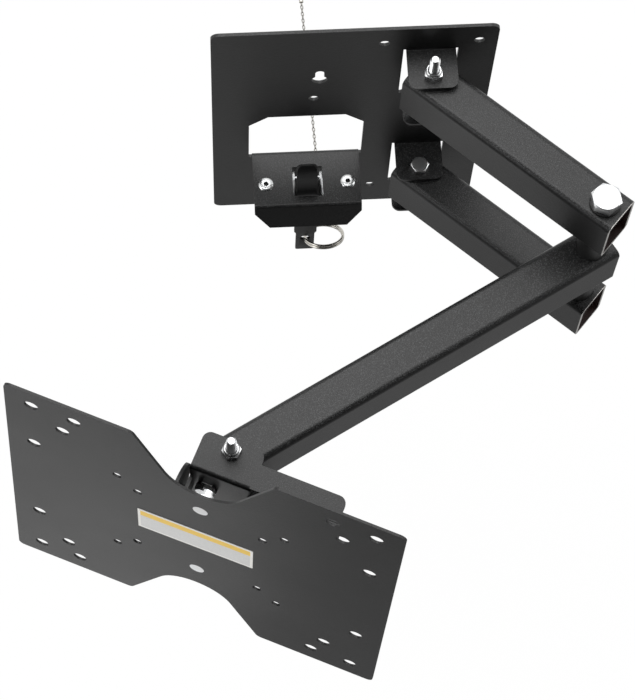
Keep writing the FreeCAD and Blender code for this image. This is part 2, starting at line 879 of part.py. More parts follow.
def make_latch_bolt():
    body = add_body("latch_bolt", on_wall)
    front = -dim("bolt_front")
    back = -dim("bolt_back") + dim("bolt_root")
    top = dim("bolt_top")
    low = dim("bolt_low")
    depth = dim("bolt_front") - dim("bolt_back")
    nose = add_sketch(body, "YZ_Plane", latch_x)
    draw_outline(nose, [
        (back, low), (front, low), (front, top - dim("nose_front_drop"), depth),
        (back - depth * dim("nose_flat_share"), top, dim("nose_crown")), (back, top, bend),
    ])
    add_pad(body, nose, dim("bolt_wide"), "Symmetric")
    arch_bolt_top(body, top)
    tail = add_sketch(body, "XZ_Plane", dim("bolt_back") - dim("tail_thick"))
    half = dim("tail_wide") / 2
    slim = dim("tail_narrow_wide") / 2
    shoulder = dim("tail_shoulder")
    top_turn = (half - slim) / 2
    end_turn = slim / 2
    slope = shoulder - dim("tail_shoulder_slope")
    end = dim("tail_low")
    draw_outline(tail, [
        (latch_x - half, shoulder), (latch_x - slim, slope), (latch_x - slim, end, end_turn),
        (latch_x + slim, end, end_turn), (latch_x + slim, slope), (latch_x + half, shoulder),
        (latch_x + half, dim("tail_top"), top_turn), (latch_x - half, dim("tail_top"), top_turn),
    ])
    add_pad(body, tail, dim("tail_thick"))
    hole = add_sketch(body, "XZ_Plane")
    draw_circle(hole, latch_x, dim("tail_hole_high"), dim("tail_hole_radius"))
    add_pocket(body, hole)
    return body


def make_latch_spring():
    low = dim("tongue_high") - sheet - dim("housing_deep") + dim("housing_sheet")
    wire = dim("spring_wire")
    length = dim("bolt_low") - low - 2 * wire
    path = doc.addObject("Part::Helix", "SpringPath")
    bind(path, "Radius", dim("spring_radius"))
    bind(path, "Pitch", dim("spring_pitch"))
    bind(path, "Height", length)
    section = doc.addObject("Part::Circle", "SpringWire")
    bind(section, "Radius", wire)
    place(section, dim("spring_radius"), 0, 0, 0, 0, 90)
    sweep = doc.addObject("Part::Sweep", "SpringSweep")
    sweep.Sections = [section]
    sweep.Spine = path
    sweep.Solid = True
    sweep.Frenet = True
    node = group("latch_spring", on_wall, [sweep])
    place(node, latch_x, -dim("spring_out"), low + wire)
    return node


link_x = dim("link_radius")


def make_split_ring():
    """Two flat turns of wire side by side, closed into one ring."""
    wire = dim("link_wire")
    coils = []
    for lift in (-1, 1):
        coil = doc.addObject("Part::Torus", "Coil")
        bind(coil, "Radius1", dim("link_radius"))
        bind(coil, "Radius2", wire)
        place(coil, 0, 0, lift * wire * dim("coil_lift_share"))
        coils.append(coil)
    node = group("split_ring", on_wall, [join(*coils)])
    tail_y = -dim("bolt_back") + dim("tail_thick") / 2
    place(node, latch_x + link_x, tail_y, dim("tail_hole_high"), 0, 0, dim("link_tilt"))
    return node


def make_pull_chain():
    """Plain stand-in cord from the ring to the fitting at its free end."""
    tail_y = -dim("bolt_back") + dim("tail_thick") / 2
    reach = dim("link_radius") * dim("link_tilt").cosine()
    start_y = tail_y + reach + dim("link_wire") + dim("chain_radius")
    z = dim("tail_hole_high") + dim("link_radius") * dim("link_tilt").sine()
    length = (dim("chain_far") - start_y) / dim("chain_yaw").cosine()
    node = group("pull_chain", on_wall, [rod(dim("chain_radius"), length, turn="back")])
    place(node, latch_x + link_x, start_y, z, dim("chain_yaw"))
    return node, start_y, length, z


def make_chain_fitting(start_y, length, z):
    neck = dim("chain_fitting_radius") * dim("chain_fitting_neck_share")
    bell = primitive("Cone", (0, length, 0), "back", Radius1=neck, Radius2=dim("chain_fitting_radius"),
                     Height=dim("chain_fitting_long"))
    node = group("chain_fitting", on_wall, [bell])
    place(node, latch_x + link_x, start_y, z, dim("chain_yaw"))
    return node


# Head
def wing_outline(sketch):
    corner = dim("flange_corner")
    inner = dim("head_half_wide") - dim("overrun")
    draw_outline(sketch, [
        (inner, -dim("wing_front")), (dim("wing_right"), -dim("wing_front")),
        (dim("wing_right"), -dim("wing_back"), corner), (inner, -dim("wing_back")),
    ])


def make_swivel_bracket():
    body = add_body("swivel_bracket", on_head)
    top = fore_top + dim("flange_gap") + sheet
    low = fore_low - dim("flange_gap") - sheet
    web = -dim("web_out")
    back = dim("flange_back")
    side = add_sketch(body, "YZ_Plane")
    draw_outline(side, [
        (web, low, bend_out), (back, low), (back, low + sheet), (web + sheet, low + sheet, bend),
        (web + sheet, top - sheet, bend), (back, top - sheet), (back, top), (web, top, bend_out),
    ])
    add_pad(body, side, dim("head_half_wide") * 2, "Symmetric")
    for level in (top - sheet, low):
        wing = add_sketch(body, "XY_Plane", level)
        wing_outline(wing)
        add_pad(body, wing, sheet)
    add_side_ears(body, web)
    cut_head_holes(body, low)
    xs = (DIMENSIONS["head_half_wide"],)
    ys = (DIMENSIONS["flange_back"],)
    round_edges(body, dim("flange_corner"), lambda edge: upright_at(edge, xs[0], ys))
    return body


def add_side_ears(body, web):
    half = dim("head_half_wide")
    reach = dim("side_ear_reach")
    tall = dim("side_ear_half")
    for sign in (-1, 1):
        offset = half - sheet if sign > 0 else -half
        ear = add_sketch(body, "YZ_Plane", offset)
        tip = web - reach
        draw_outline(ear, [
            (web + bend, middle - tall), (tip, middle - tall, tall - dim("round_spare")),
            (tip, middle + tall, tall - dim("round_spare")), (web + bend, middle + tall),
        ])
        add_pad(body, ear, sheet)


def cut_head_holes(body, low):
    pins = add_sketch(body, "XY_Plane")
    draw_circle(pins, 0, 0, dim("small_bolt_hole"))
    add_pocket(body, pins)
    catch = add_sketch(body, "XY_Plane", low - dim("overrun"))
    half = dim("catch_wide") / 2
    left = dim("catch_side") - half
    right = dim("catch_side") + half
    front = -dim("catch_front")
    back = -dim("catch_back")
    draw_outline(catch, [
        (left, front, bend), (right, front, bend), (right, back, bend), (left, back, bend),
    ])
    add_pocket(body, catch, sheet + 2 * dim("overrun"))
    tilt = add_sketch(body, "YZ_Plane")
    draw_circle(tilt, -dim("tilt_out"), middle, dim("small_bolt_hole"))
    add_pocket(body, tilt)
    lock = add_sketch(body, "XZ_Plane")
    draw_circle(lock, dim("lock_bolt_side"), dim("lock_bolt_high"), dim("lock_bolt_radius"))
    add_pocket(body, lock)


def make_swivel_bolt():
    top = fore_top + dim("flange_gap") + sheet
    low = fore_low - dim("flange_gap") - sheet
    bolt = hex_bolt(dim("small_hex"), dim("small_head_tall"), small_radius,
                    top - low + dim("small_stud_out"), (0, 0, low), "down")
    return group("swivel_bolt", on_head, [bolt])


def make_swivel_nut():
    top = fore_top + dim("flange_gap") + sheet
    nut = lock_nut(dim("small_hex"), dim("small_nut_tall"), small_radius, (0, 0, top), "up", small_turn)
    return group("swivel_nut", on_head, [nut])


def make_swivel_washers():
    rings = []
    for low in (fore_top, fore_low - dim("flange_gap")):
        rings.append(sleeve(dim("small_washer_radius"), dim("small_bolt_hole"),
                            dim("flange_gap"), (0, 0, low)))
    return group("swivel_washers", on_head, rings)


def make_lock_bolt():
    seat = -dim("web_out") - dim("lock_nut_tall")
    at = (dim("lock_bolt_side"), seat, dim("lock_bolt_high"))
    bolt = hex_bolt(dim("lock_hex"), dim("lock_head_tall"), dim("lock_bolt_radius"),
                    dim("lock_nut_tall") + sheet, at, "front")
    return group("swivel_lock_bolt", on_head, [bolt])


def make_lock_nut():
    at = (dim("lock_bolt_side"), -dim("web_out"), dim("lock_bolt_high"))
    nut = cut(hexagon(dim("lock_hex"), dim("lock_nut_tall"), at, "front"),
              rod(dim("lock_bolt_radius"), dim("lock_nut_tall"), at, "front"))
    return group("swivel_lock_nut", on_head, [nut])


# Tilt group
def make_tilt_bracket():
    body = add_body("tilt_bracket", on_tilt)
    wide = dim("tilt_half_wide")
    base = -dim("tilt_base_out")
    ear = dim("tilt_ear_half")
    plan = add_sketch(body, "XY_Plane")
    back = dim("tilt_ear_back")
    draw_outline(plan, [
        (-wide, base - sheet, bend_out), (wide, base - sheet, bend_out), (wide, back),
        (wide - sheet, back), (wide - sheet, base, bend), (-wide + sheet, base, bend),
        (-wide + sheet, back), (-wide, back),
    ])
    add_pad(body, plan, ear * 2, "Symmetric")
    tabs = add_sketch(body, "XZ_Plane", -base)
    tab = dim("tilt_tab_half_wide")
    tall = dim("tilt_tab_half")
    corner = dim("flange_corner")
    draw_outline(tabs, [
        (-tab, -tall, corner), (tab, -tall, corner), (tab, tall, corner), (-tab, tall, corner),
    ])
    add_pad(body, tabs, sheet)
    holes = add_sketch(body, "XZ_Plane")
    for side in (-1, 1):
        draw_circle(holes, 0, side * dim("plate_stud_high"), dim("small_bolt_hole"))
    add_pocket(body, holes)
    axle = add_sketch(body, "YZ_Plane")
    draw_circle(axle, 0, 0, dim("small_bolt_hole"))
    add_pocket(body, axle)
    round_edges(body, dim("tilt_ear_corner"), ear_corner_edge)
    return body


def ear_corner_edge(edge):
    centre = edge.BoundBox.Center
    at_back = abs(centre.y - DIMENSIONS["tilt_ear_back"]) < 0.01
    at_end = abs(abs(centre.z) - DIMENSIONS["tilt_ear_half"]) < 0.01
    return at_back and at_end and abs(edge.BoundBox.XLength - DIMENSIONS["sheet"]) < 0.01


def make_screen_plate():
    body = add_body("screen_plate", on_screen)
    sketch = add_sketch(body, "XZ_Plane", dim("tilt_base_out") + sheet)
    half = dim("screen_plate_size") / 2
    corner = dim("screen_plate_corner")
    notch = dim("notch_half_wide")
    apex = dim("notch_apex")
    turn = dim("notch_round")
    draw_outline(sketch, [
        (-half, -half, corner), (-notch, -half, corner), (0, -apex, turn), (notch, -half, corner),
        (half, -half, corner), (half, half, corner), (notch, half, corner), (0, apex, turn),
        (-notch, half, corner), (-half, half, corner),
    ])
    add_pad(body, sketch, dim("screen_sheet"))
    holes = add_sketch(body, "XZ_Plane")
    for spots, radius in ((SCREEN_HOLES, dim("screen_hole")), (SCREEN_SMALL_HOLES, dim("screen_small_hole"))):
        for x, z in spots:
            for side in (-1, 1):
                for up in (-1, 1):
                    draw_circle(holes, side * x, up * z, radius)
    for up in (-1, 1):
        z = up * dim("plate_stud_high") + dim("screen_plate_drop")
        draw_circle(holes, 0, z, dim("plate_stud_head") + dim("bush_seat"))
    add_pocket(body, holes)
    return body


def make_plate_studs():
    front = -dim("tilt_base_out") - sheet - dim("screen_sheet")
    studs = []
    for up in (-1, 1):
        at = (0, front, up * dim("plate_stud_high"))
        head = rod(dim("plate_stud_head"), dim("screen_sheet"), at, "back")
        long = dim("screen_sheet") + sheet + dim("plate_stud_long")
        shank = rod(small_radius, long, at, "back")
        studs.append(join(head, shank))
    return group("plate_studs", on_tilt, studs)


def make_stud_nuts():
    nuts = []
    for up in (-1, 1):
        at = (0, -dim("tilt_base_out"), up * dim("plate_stud_high"))
        nuts.append(lock_nut(dim("small_hex"), dim("small_nut_tall"), small_radius, at, "back"))
    return group("stud_nuts", on_tilt, nuts)


def make_tilt_bolt():
    wide = dim("tilt_half_wide")
    left = (-wide, 0, 0)
    head = hexagon(dim("small_hex"), dim("small_head_tall"), (-wide - dim("small_head_tall"), 0, 0), "right")
    shank = rod(small_radius, 2 * wide + dim("small_stud_low"), left, "right")
    return group("tilt_bolt", on_tilt, [join(head, shank)])


def make_tilt_nut():
    at = (dim("tilt_half_wide"), 0, 0)
    nut = lock_nut(dim("small_hex"), dim("small_nut_tall"), small_radius, at, "right")
    return group("tilt_nut", on_tilt, [nut])


def make_tilt_washers():
    inner = dim("head_half_wide")
    outer = dim("tilt_half_wide") - sheet
    left = sleeve(dim("small_washer_radius"), dim("small_bolt_hole"), outer - inner, (inner, 0, 0), "right")
    right = sleeve(dim("small_washer_radius"), dim("small_bolt_hole"), outer - inner, (-outer, 0, 0), "right")
    return group("tilt_washers", on_tilt, [left, right])


def make_label():
    body = add_body("plate_label", on_screen)
    sketch = add_sketch(body, "XZ_Plane", dim("tilt_base_out") + sheet + dim("screen_sheet"))
    cosine = dim("label_turn").cosine()
    sine = dim("label_turn").sine()
    corners = []
    for right, up in ((-1, -1), (1, -1), (1, 1), (-1, 1)):
        along = right * dim("label_wide") / 2
        across = up * dim("label_tall") / 2
        x = dim("label_side") + along * cosine - across * sine
        z = dim("label_high") + along * sine + across * cosine
        corners.append((x, z))
    draw_outline(sketch, corners)
    add_pad(body, sketch, dim("label_thick"))
    return body


nodes = [make_wall_plate(), make_clevis_bolts(), make_clevis_nuts()]
nodes += [make_clevis_washers(), make_clevis_spacers()]
nodes += list(make_arm_tubes())
nodes += [make_arm_bushes(), make_elbow_bolt(), make_elbow_cap_washer()]
nodes += [make_elbow_nut(), make_elbow_washer(), make_elbow_spacers()]
nodes += [make_forearm_tube(), make_elbow_bush(), make_head_bush()]
nodes += [make_latch_housing(), make_latch_pin(), make_latch_rivets(), make_latch_bolt()]
chain, *chain_run = make_pull_chain()
nodes += [make_latch_spring(), make_split_ring(), chain, make_chain_fitting(*chain_run)]
nodes += [make_swivel_bracket(), make_swivel_bolt(), make_swivel_nut(), make_swivel_washers()]
nodes += [make_lock_bolt(), make_lock_nut()]
nodes += [make_tilt_bracket(), make_screen_plate(), make_plate_studs(), make_stud_nuts()]
nodes += [make_tilt_bolt(), make_tilt_nut(), make_tilt_washers(), make_label()]
doc.recompute()

for thing in doc.Objects:
    if "Invalid" in thing.State or "Error" in thing.State:
        raise RuntimeError("failed object " + thing.Label)
for node in nodes:
    shape = node.Shape
    if shape.isNull() or not shape.isValid():
        raise RuntimeError("bad shape " + node.Label)
    print(node.Label, len(shape.Solids), round(shape.Volume, 1), shape.BoundBox)
    shape.exportStep("parts/%s.step" % node.Label)
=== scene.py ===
import json
import math

import bpy
from mathutils import Matrix, Vector


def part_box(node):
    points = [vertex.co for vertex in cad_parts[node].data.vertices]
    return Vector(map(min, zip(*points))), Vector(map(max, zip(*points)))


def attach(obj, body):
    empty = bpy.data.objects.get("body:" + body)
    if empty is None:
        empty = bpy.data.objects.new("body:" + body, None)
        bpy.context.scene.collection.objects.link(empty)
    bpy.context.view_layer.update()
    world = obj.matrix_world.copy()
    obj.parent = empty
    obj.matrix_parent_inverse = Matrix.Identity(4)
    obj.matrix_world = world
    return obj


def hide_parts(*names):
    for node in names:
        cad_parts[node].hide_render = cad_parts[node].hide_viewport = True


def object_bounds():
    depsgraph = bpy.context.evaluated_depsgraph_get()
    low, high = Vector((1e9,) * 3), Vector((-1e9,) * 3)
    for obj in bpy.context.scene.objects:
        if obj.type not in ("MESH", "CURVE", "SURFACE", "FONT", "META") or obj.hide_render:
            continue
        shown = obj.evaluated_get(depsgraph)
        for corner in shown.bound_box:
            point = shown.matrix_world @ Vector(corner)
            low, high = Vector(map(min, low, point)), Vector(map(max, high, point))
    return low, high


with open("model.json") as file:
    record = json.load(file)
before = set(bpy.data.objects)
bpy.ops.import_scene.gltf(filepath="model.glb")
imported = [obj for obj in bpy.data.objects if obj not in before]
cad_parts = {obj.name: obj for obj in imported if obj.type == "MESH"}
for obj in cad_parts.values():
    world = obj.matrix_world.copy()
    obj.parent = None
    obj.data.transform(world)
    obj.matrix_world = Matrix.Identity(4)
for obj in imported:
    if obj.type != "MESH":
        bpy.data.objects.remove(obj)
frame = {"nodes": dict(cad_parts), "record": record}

CAD_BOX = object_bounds()

# Camera, solved from the photograph
CAMERA_PLACE = Vector((-0.14233, -0.70069, 1.47831))
CAMERA_ELEVATION = math.radians(69.42)
CAMERA_AZIMUTH = math.radians(-7.33)
CAMERA_ROLL = math.radians(4.35)
CAMERA_LENS = 138.68

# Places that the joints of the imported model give
JOINTS = {joint["name"]: joint for joint in frame["record"]["behaviour"]["joints"]}
CLEVIS = Vector(JOINTS["arm_swing"]["pos_m"])
ELBOW = Vector(JOINTS["elbow_fold"]["pos_m"])
HEAD = Vector(JOINTS["head_swivel"]["pos_m"])
TILT = Vector(JOINTS["screen_tilt"]["pos_m"])
RING_HOLE = Vector(JOINTS["ring_swing"]["pos_m"])
TILT_AXIS = Vector(JOINTS["screen_tilt"]["axis"])
SCREEN_NORMAL = Vector(next(m for m in frame["record"]["mounts"] if m["name"] == "screen_200")["axis"])
UP = Vector((0, 0, 1))
MM = 0.001

# Sizes of the tubes
TUBE_WIDE = 0.0254
TUBE_TALL = 0.0381
TUBE_WALL = 0.002
TUBE_END = 0.012

# Split ring and pull chain
RING_RADIUS = 0.0123
RING_WIRE = 0.00095
RING_TILT = math.radians(-32)
RING_TURNS = 1.93
CHAIN_FAR = 0.150
CHAIN_YAW = math.radians(1.78)
CHAIN_PITCH = 0.0025
CHAIN_WIRE = 0.00040
CHAIN_WIDE = 0.0022

# Fasteners, in millimetres
SMALL_HEX = 10.0
SMALL_HEAD = 4.0
SMALL_RADIUS = 3.0
SMALL_PITCH = 1.0
SMALL_NUT = 6.5
SMALL_TURN = 27.0
EAR_TOP = 89.3
EAR_LOW = 34.2
CLEVIS_STEP = 127.0
FLANGE_TOP = 25.2
FLANGE_LOW = -20.7
STUD_OUT = 16.0
STUD_LOW = 7.6
ELBOW_HEX = 16.0
ELBOW_HEAD = 6.4
ELBOW_RADIUS = 5.0
ELBOW_PITCH = 1.5
ELBOW_NUT = 9.0
ELBOW_TOP = 87.3
ELBOW_LOW = -81.9
ELBOW_STUD = 11.5
ELBOW_TURN = 19.0
LOCK_HEX = 11.0
LOCK_HEAD = 4.4
LOCK_SIDE = -8.0
LOCK_OUT = 20.3
LOCK_HIGH = 1.5
LOCK_SHANK = 5.0
LOCK_THREAD = 4.0
LOCK_TURN = 12
THREAD_LONG = 24
THREAD_SHORT = 14
ELBOW_THREAD = 26

# Washer under the head of the elbow bolt, in millimetres
CAP_THICK = 2.5
CAP_BORE = 5.05
CAP_RADIUS = 8.9
CAP_LOW_FLAT = 8.6
CAP_TOP_FLAT = 8.5
CAP_LOW_EDGE = 0.3
CAP_TOP_EDGE = 0.4

# Latch, in millimetres
LATCH_X = -69.0
TONGUE_TOP = -46.2
SHEET = 2.0
HOUSING_TOP = TONGUE_TOP - SHEET
RIVET_X = -69.5
RIVET_APART = 50.7
RIVET_Y = -22.5
RIVET_BORE = 1.3
RIVET_HOLE = 2.5

# Nose block of the latch, in millimetres; its outline is given as (y, z)
NOSE_HALF = 6.25
NOSE_OUTLINE = [
    (-24.7, -52.0), (-30.7, -52.0), (-30.7, -27.0), (-30.4, -23.2), (-29.7, -19.8), (-28.6, -16.8),
    (-27.2, -14.4), (-26.0, -13.1), (-25.1, -12.8), (-24.7, -13.0),
]
CROWN_STEPS = 12
CROWN_LOW = -18.2
CROWN_RISE = 5.5
NOSE_LEAN = math.radians(-0.8)
NOSE_LEAN_HIGH = -0.110

# Strip that carries the nose, in millimetres
STRIP_HALF = 7.2
STRIP_SLIM = 6.0
STRIP_TOP = -44.0
STRIP_SHOULDER = -119.5
STRIP_WAIST = -122.0
STRIP_END = -147.8
STRIP_FRONT = -24.2
STRIP_BACK = -22.2
STRIP_EYE = 3.2

# Channel under the tongue, in millimetres
CHANNEL_INSIDE = 7.7
CHANNEL_SKIN = 1.5
CHANNEL_TALL = 30.0
CHANNEL_REACH = 30.5
CHANNEL_BEND = 1.2
CHANNEL_FRONT = -33.0
CHANNEL_BACK = -12.0
CUT_HALF = 10.4
CUT_DEEP = 2.6
CUT_FRONT = -18.8
PIN_RADIUS = 1.3
PIN_Y = -16.1
PIN_HIGH = -52.5
SLOT_HALF = 7.4
SLOT_FRONT = -24.6
SLOT_BACK = -21.8

LABEL_TURN = math.radians(1.7)
FLOOR_DROP = 0.22


# Shader expressions
class Socket:
    """A node's output that takes part in sums as a number does."""

    def __init__(self, paint, output):
        self.paint = paint
        self.output = output

    def _math(self, operation, first, second):
        return self.paint.node("ShaderNodeMath", {"operation": operation}, {0: first, 1: second})

    def __add__(self, other):
        return self._math("ADD", self, other)

    def __radd__(self, other):
        return self._math("ADD", other, self)

    def __sub__(self, other):
        return self._math("SUBTRACT", self, other)

    def __rsub__(self, other):
        return self._math("SUBTRACT", other, self)

    def __mul__(self, other):
        return self._math("MULTIPLY", self, other)

    def __rmul__(self, other):
        return self._math("MULTIPLY", other, self)

    def __gt__(self, other):
        return self._math("GREATER_THAN", self, other)

    def __lt__(self, other):
        return self._math("LESS_THAN", self, other)

    def part(self, name):
        return Socket(self.paint, self.output.node.outputs[name])


class Paint:
    """One material under construction."""

    def __init__(self, name):
        self.material = bpy.data.materials.new(name)
        self.material.use_nodes = True
        self.tree = self.material.node_tree
        self.tree.nodes.clear()

    def node(self, kind, settings=None, inputs=None, output=0):
        made = self.tree.nodes.new(kind)
        for setting, value in (settings or {}).items():
            if setting == "stops":
                self._stops(made.color_ramp, value)
            else:
                setattr(made, setting, value)
        for socket, value in (inputs or {}).items():
            if isinstance(value, Socket):
                self.tree.links.new(value.output, made.inputs[socket])
            else:
                made.inputs[socket].default_value = value
        return Socket(self, made.outputs[output]) if made.outputs else made

    def _stops(self, ramp, stops):
        while len(ramp.elements) < len(stops):
            ramp.elements.new(0.5)
        for element, (place, value) in zip(ramp.elements, stops):
            element.position = place
            element.color = (value, value, value, 1) if isinstance(value, float) else value

    def place(self):
        return self.node("ShaderNodeTexCoord", output=3)

    def noise(self, scale, detail=2.0, rough=0.5, vector=None):
        inputs = {"Vector": vector or self.place(), "Scale": scale, "Detail": detail, "Roughness": rough}
        return self.node("ShaderNodeTexNoise", {}, inputs)

    def ramp(self, factor, *stops):
        return self.node("ShaderNodeValToRGB", {"stops": stops}, {0: factor})

    def mix(self, factor, first, second):
        settings = {"data_type": "RGBA"}
        return self.node("ShaderNodeMix", settings, {0: factor, 6: first, 7: second}, 2)

    def along(self, direction, origin):
        """Distance of the surface point from the origin along a direction."""
        vector = self.node("ShaderNodeVectorMath", {"operation": "SUBTRACT"}, {0: self.place(), 1: origin})
        settings = {"operation": "DOT_PRODUCT"}
        return self.node("ShaderNodeVectorMath", settings, {0: vector, 1: direction}, 1)

    def upward(self):
        """How far the smooth face looks up: one on top, zero on upright faces."""
        normal = self.node("ShaderNodeNewGeometry", output=3)
        settings = {"operation": "DOT_PRODUCT"}
        return self.node("ShaderNodeVectorMath", settings, {0: normal, 1: (0, 0, 1)}, 1)

    def size_of(self, value):
        return self.node("ShaderNodeMath", {"operation": "ABSOLUTE"}, {0: value})

    def bump(self, height, distance, strength=1.0, below=None):
        inputs = {"Height": height, "Distance": distance, "Strength": strength}
        if below is not None:
            inputs["Normal"] = below
        return self.node("ShaderNodeBump", {}, inputs)

    def surface(self, **inputs):
        sockets = {name.replace("_", " "): value for name, value in inputs.items()}
        shader = self.node("ShaderNodeBsdfPrincipled", {}, sockets)
        self.node("ShaderNodeOutputMaterial", {}, {"Surface": shader})
        return self.material


def rgba(value, warm=0.0):
    return (value * (1 + warm), value, value * (1 - warm), 1)


# Finishes
COAT_TONE = 0.0035
COAT_SHINE = 0.44


def coat_layers(paint, tone, glint_strength):
    """Colour, roughness and normal of the textured coat; painted glints make its grains light up one by one
    on the faces that look up.
    """
    grain = paint.noise(1900.0, 1.0, 0.4)
    pebble = paint.noise(800.0, 2.0, 0.55)
    cloud = paint.noise(22.0, 3.0, 0.55)
    painted_glints = paint.ramp(grain, (0.52, 0.0), (0.68, 1.0))
    top_faces_for_glints = paint.ramp(paint.upward(), (0.55, 0.0), (0.85, 1.0))
    base = paint.mix(cloud, rgba(tone * 0.84, -0.02), rgba(tone * 1.18, -0.01))
    # Painted highlight: bright specks only on the faces that look up stand in for the light that the grains
    # catch.
    coat_with_painted_glints = paint.mix(top_faces_for_glints * painted_glints * glint_strength, base, rgba(tone * 14.0, -0.02))
    rough = 0.34 + cloud * 0.06 + grain * 0.08
    fine = paint.bump(grain, 0.00012, 0.45)
    normal = paint.bump(pebble, 0.00018, 0.40, fine)
    return coat_with_painted_glints, rough, normal


def powder_coat(name, tone=COAT_TONE, glint_strength=0.8):
    paint = Paint(name)
    colour, rough, normal = coat_layers(paint, tone, glint_strength)
    return paint.surface(Base_Color=colour, Roughness=rough, Normal=normal, Specular_IOR_Level=COAT_SHINE)


def smooth_coat(name, tone=0.003):
    """Smoother black coat with faint orange peel, for the latch and the elbow spacers."""
    paint = Paint(name)
    peel = paint.noise(700.0, 2.0, 0.5)
    cloud = paint.noise(60.0, 2.0, 0.5)
    base = paint.mix(cloud, rgba(tone * 0.8), rgba(tone * 1.3))
    normal = paint.bump(peel, 0.00012, 0.3)
    return paint.surface(Base_Color=base, Roughness=0.36 + cloud * 0.14, Normal=normal,
                         Specular_IOR_Level=0.3)


def tube_coat(name, end, direction, middle):
    """Powder coat outside, a bare cut rim at the ends and dull primer inside the tube."""
    paint = Paint(name)
    side = Vector((-direction.y, direction.x, 0))
    coat, coat_rough, normal = coat_layers(paint, COAT_TONE, 0.9)
    across = paint.size_of(paint.along(side, middle))
    up = paint.size_of(paint.along(UP, middle))
    shade = 0.0004
    inside = (across < TUBE_WIDE / 2 - TUBE_WALL + shade) * (up < TUBE_TALL / 2 - TUBE_WALL + shade)
    primer = paint.mix(paint.noise(90.0, 3.0, 0.6), (0.006, 0.003, 0.0025, 1), (0.026, 0.009, 0.007, 1))
    far = paint.along(direction, end)
    rim = far > -0.00015
    scratch = paint.noise(1800.0, 2.0, 0.6)
    steel = paint.mix(scratch, (0.42, 0.40, 0.38, 1), (0.66, 0.64, 0.61, 1))
    colour = paint.mix(rim, paint.mix(inside, coat, primer), steel)
    rough = coat_rough - rim * 0.16
    return paint.surface(Base_Color=colour, Roughness=rough, Metallic=rim * 0.9, Normal=normal,
                         Specular_IOR_Level=COAT_SHINE)


def zinc(name, tone=0.74, rough=0.22):
    """Bright zinc plate with faint clouding and turning marks."""
    paint = Paint(name)
    cloud = paint.noise(160.0, 3.0, 0.55)
    fine = paint.noise(2400.0, 2.0, 0.5)
    cool = (tone * 0.86, tone * 0.90, tone * 0.95, 1)
    warm = (tone, tone * 0.985, tone * 0.95, 1)
    colour = paint.mix(cloud, cool, warm)
    normal = paint.bump(fine, 0.00004, 0.25)
    return paint.surface(Base_Color=colour, Metallic=1.0, Roughness=rough + cloud * 0.14, Normal=normal)


def nickel(name, tone=0.66):
    paint = Paint(name)
    cloud = paint.noise(220.0, 2.0, 0.5)
    colour = paint.mix(cloud, (tone * 0.70, tone * 0.67, tone * 0.61, 1), (tone, tone * 0.97, tone * 0.90, 1))
    normal = paint.bump(paint.noise(1600.0, 1.0, 0.5), 0.00003, 0.2)
    return paint.surface(Base_Color=colour, Metallic=1.0, Roughness=0.14 + cloud * 0.12, Normal=normal)


def nylon(name, tone=0.009):
    paint = Paint(name)
    cloud = paint.noise(130.0, 2.0, 0.5)
    colour = paint.mix(cloud, rgba(tone * 0.8), rgba(tone * 1.3))
    normal = paint.bump(paint.noise(900.0, 2.0, 0.5), 0.00008, 0.25)
    return paint.surface(Base_Color=colour, Roughness=0.42 + cloud * 0.12, Normal=normal)


def spring_wire(name):
    paint = Paint(name)
    cloud = paint.noise(400.0, 2.0, 0.5)
    colour = paint.mix(cloud, (0.34, 0.33, 0.32, 1), (0.55, 0.54, 0.52, 1))
    normal = paint.bump(paint.noise(2000.0, 1.0, 0.5), 0.00003, 0.3)
    return paint.surface(Base_Color=colour, Metallic=1.0, Roughness=0.3 + cloud * 0.1, Normal=normal)


def label_film(name, wide=0.0704, tall=0.025, band=0.0062, edge=0.0016):
    """Blank sticker: a pale panel, an amber band along its top and a pale border, with no words."""
    paint = Paint(name)
    side = Matrix.Rotation(LABEL_TURN, 3, SCREEN_NORMAL) @ TILT_AXIS
    up = SCREEN_NORMAL.cross(side)
    up = up if up.z > 0 else -up
    low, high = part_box("plate_label")
    middle = (low + high) / 2
    across = paint.size_of(paint.along(side, middle))
    height = paint.along(up, middle)
    within = across < wide / 2 - edge
    strip = (height > tall / 2 - edge - band) * (height < tall / 2 - edge) * within
    fibre = paint.noise(900.0, 3.0, 0.6)
    smudge = paint.noise(70.0, 2.0, 0.5)
    pale = paint.mix(smudge, (0.66, 0.65, 0.62, 1), (0.80, 0.79, 0.76, 1))
    panel = within * (height < tall / 2 - edge - band) * (height > edge - tall / 2)
    grey = paint.mix(fibre, (0.50, 0.50, 0.49, 1), (0.66, 0.66, 0.65, 1))
    amber = paint.mix(smudge, (0.72, 0.46, 0.05, 1), (0.80, 0.54, 0.09, 1))
    colour = paint.mix(strip, paint.mix(panel, pale, grey), amber)
    normal = paint.bump(fibre, 0.00003, 0.3)
    return paint.surface(Base_Color=colour, Roughness=0.40 + smudge * 0.12, Normal=normal)


def give(material, *names):
    for name in names:
        node = frame["nodes"][name]
        node.data.materials.clear()
        node.data.materials.append(material)


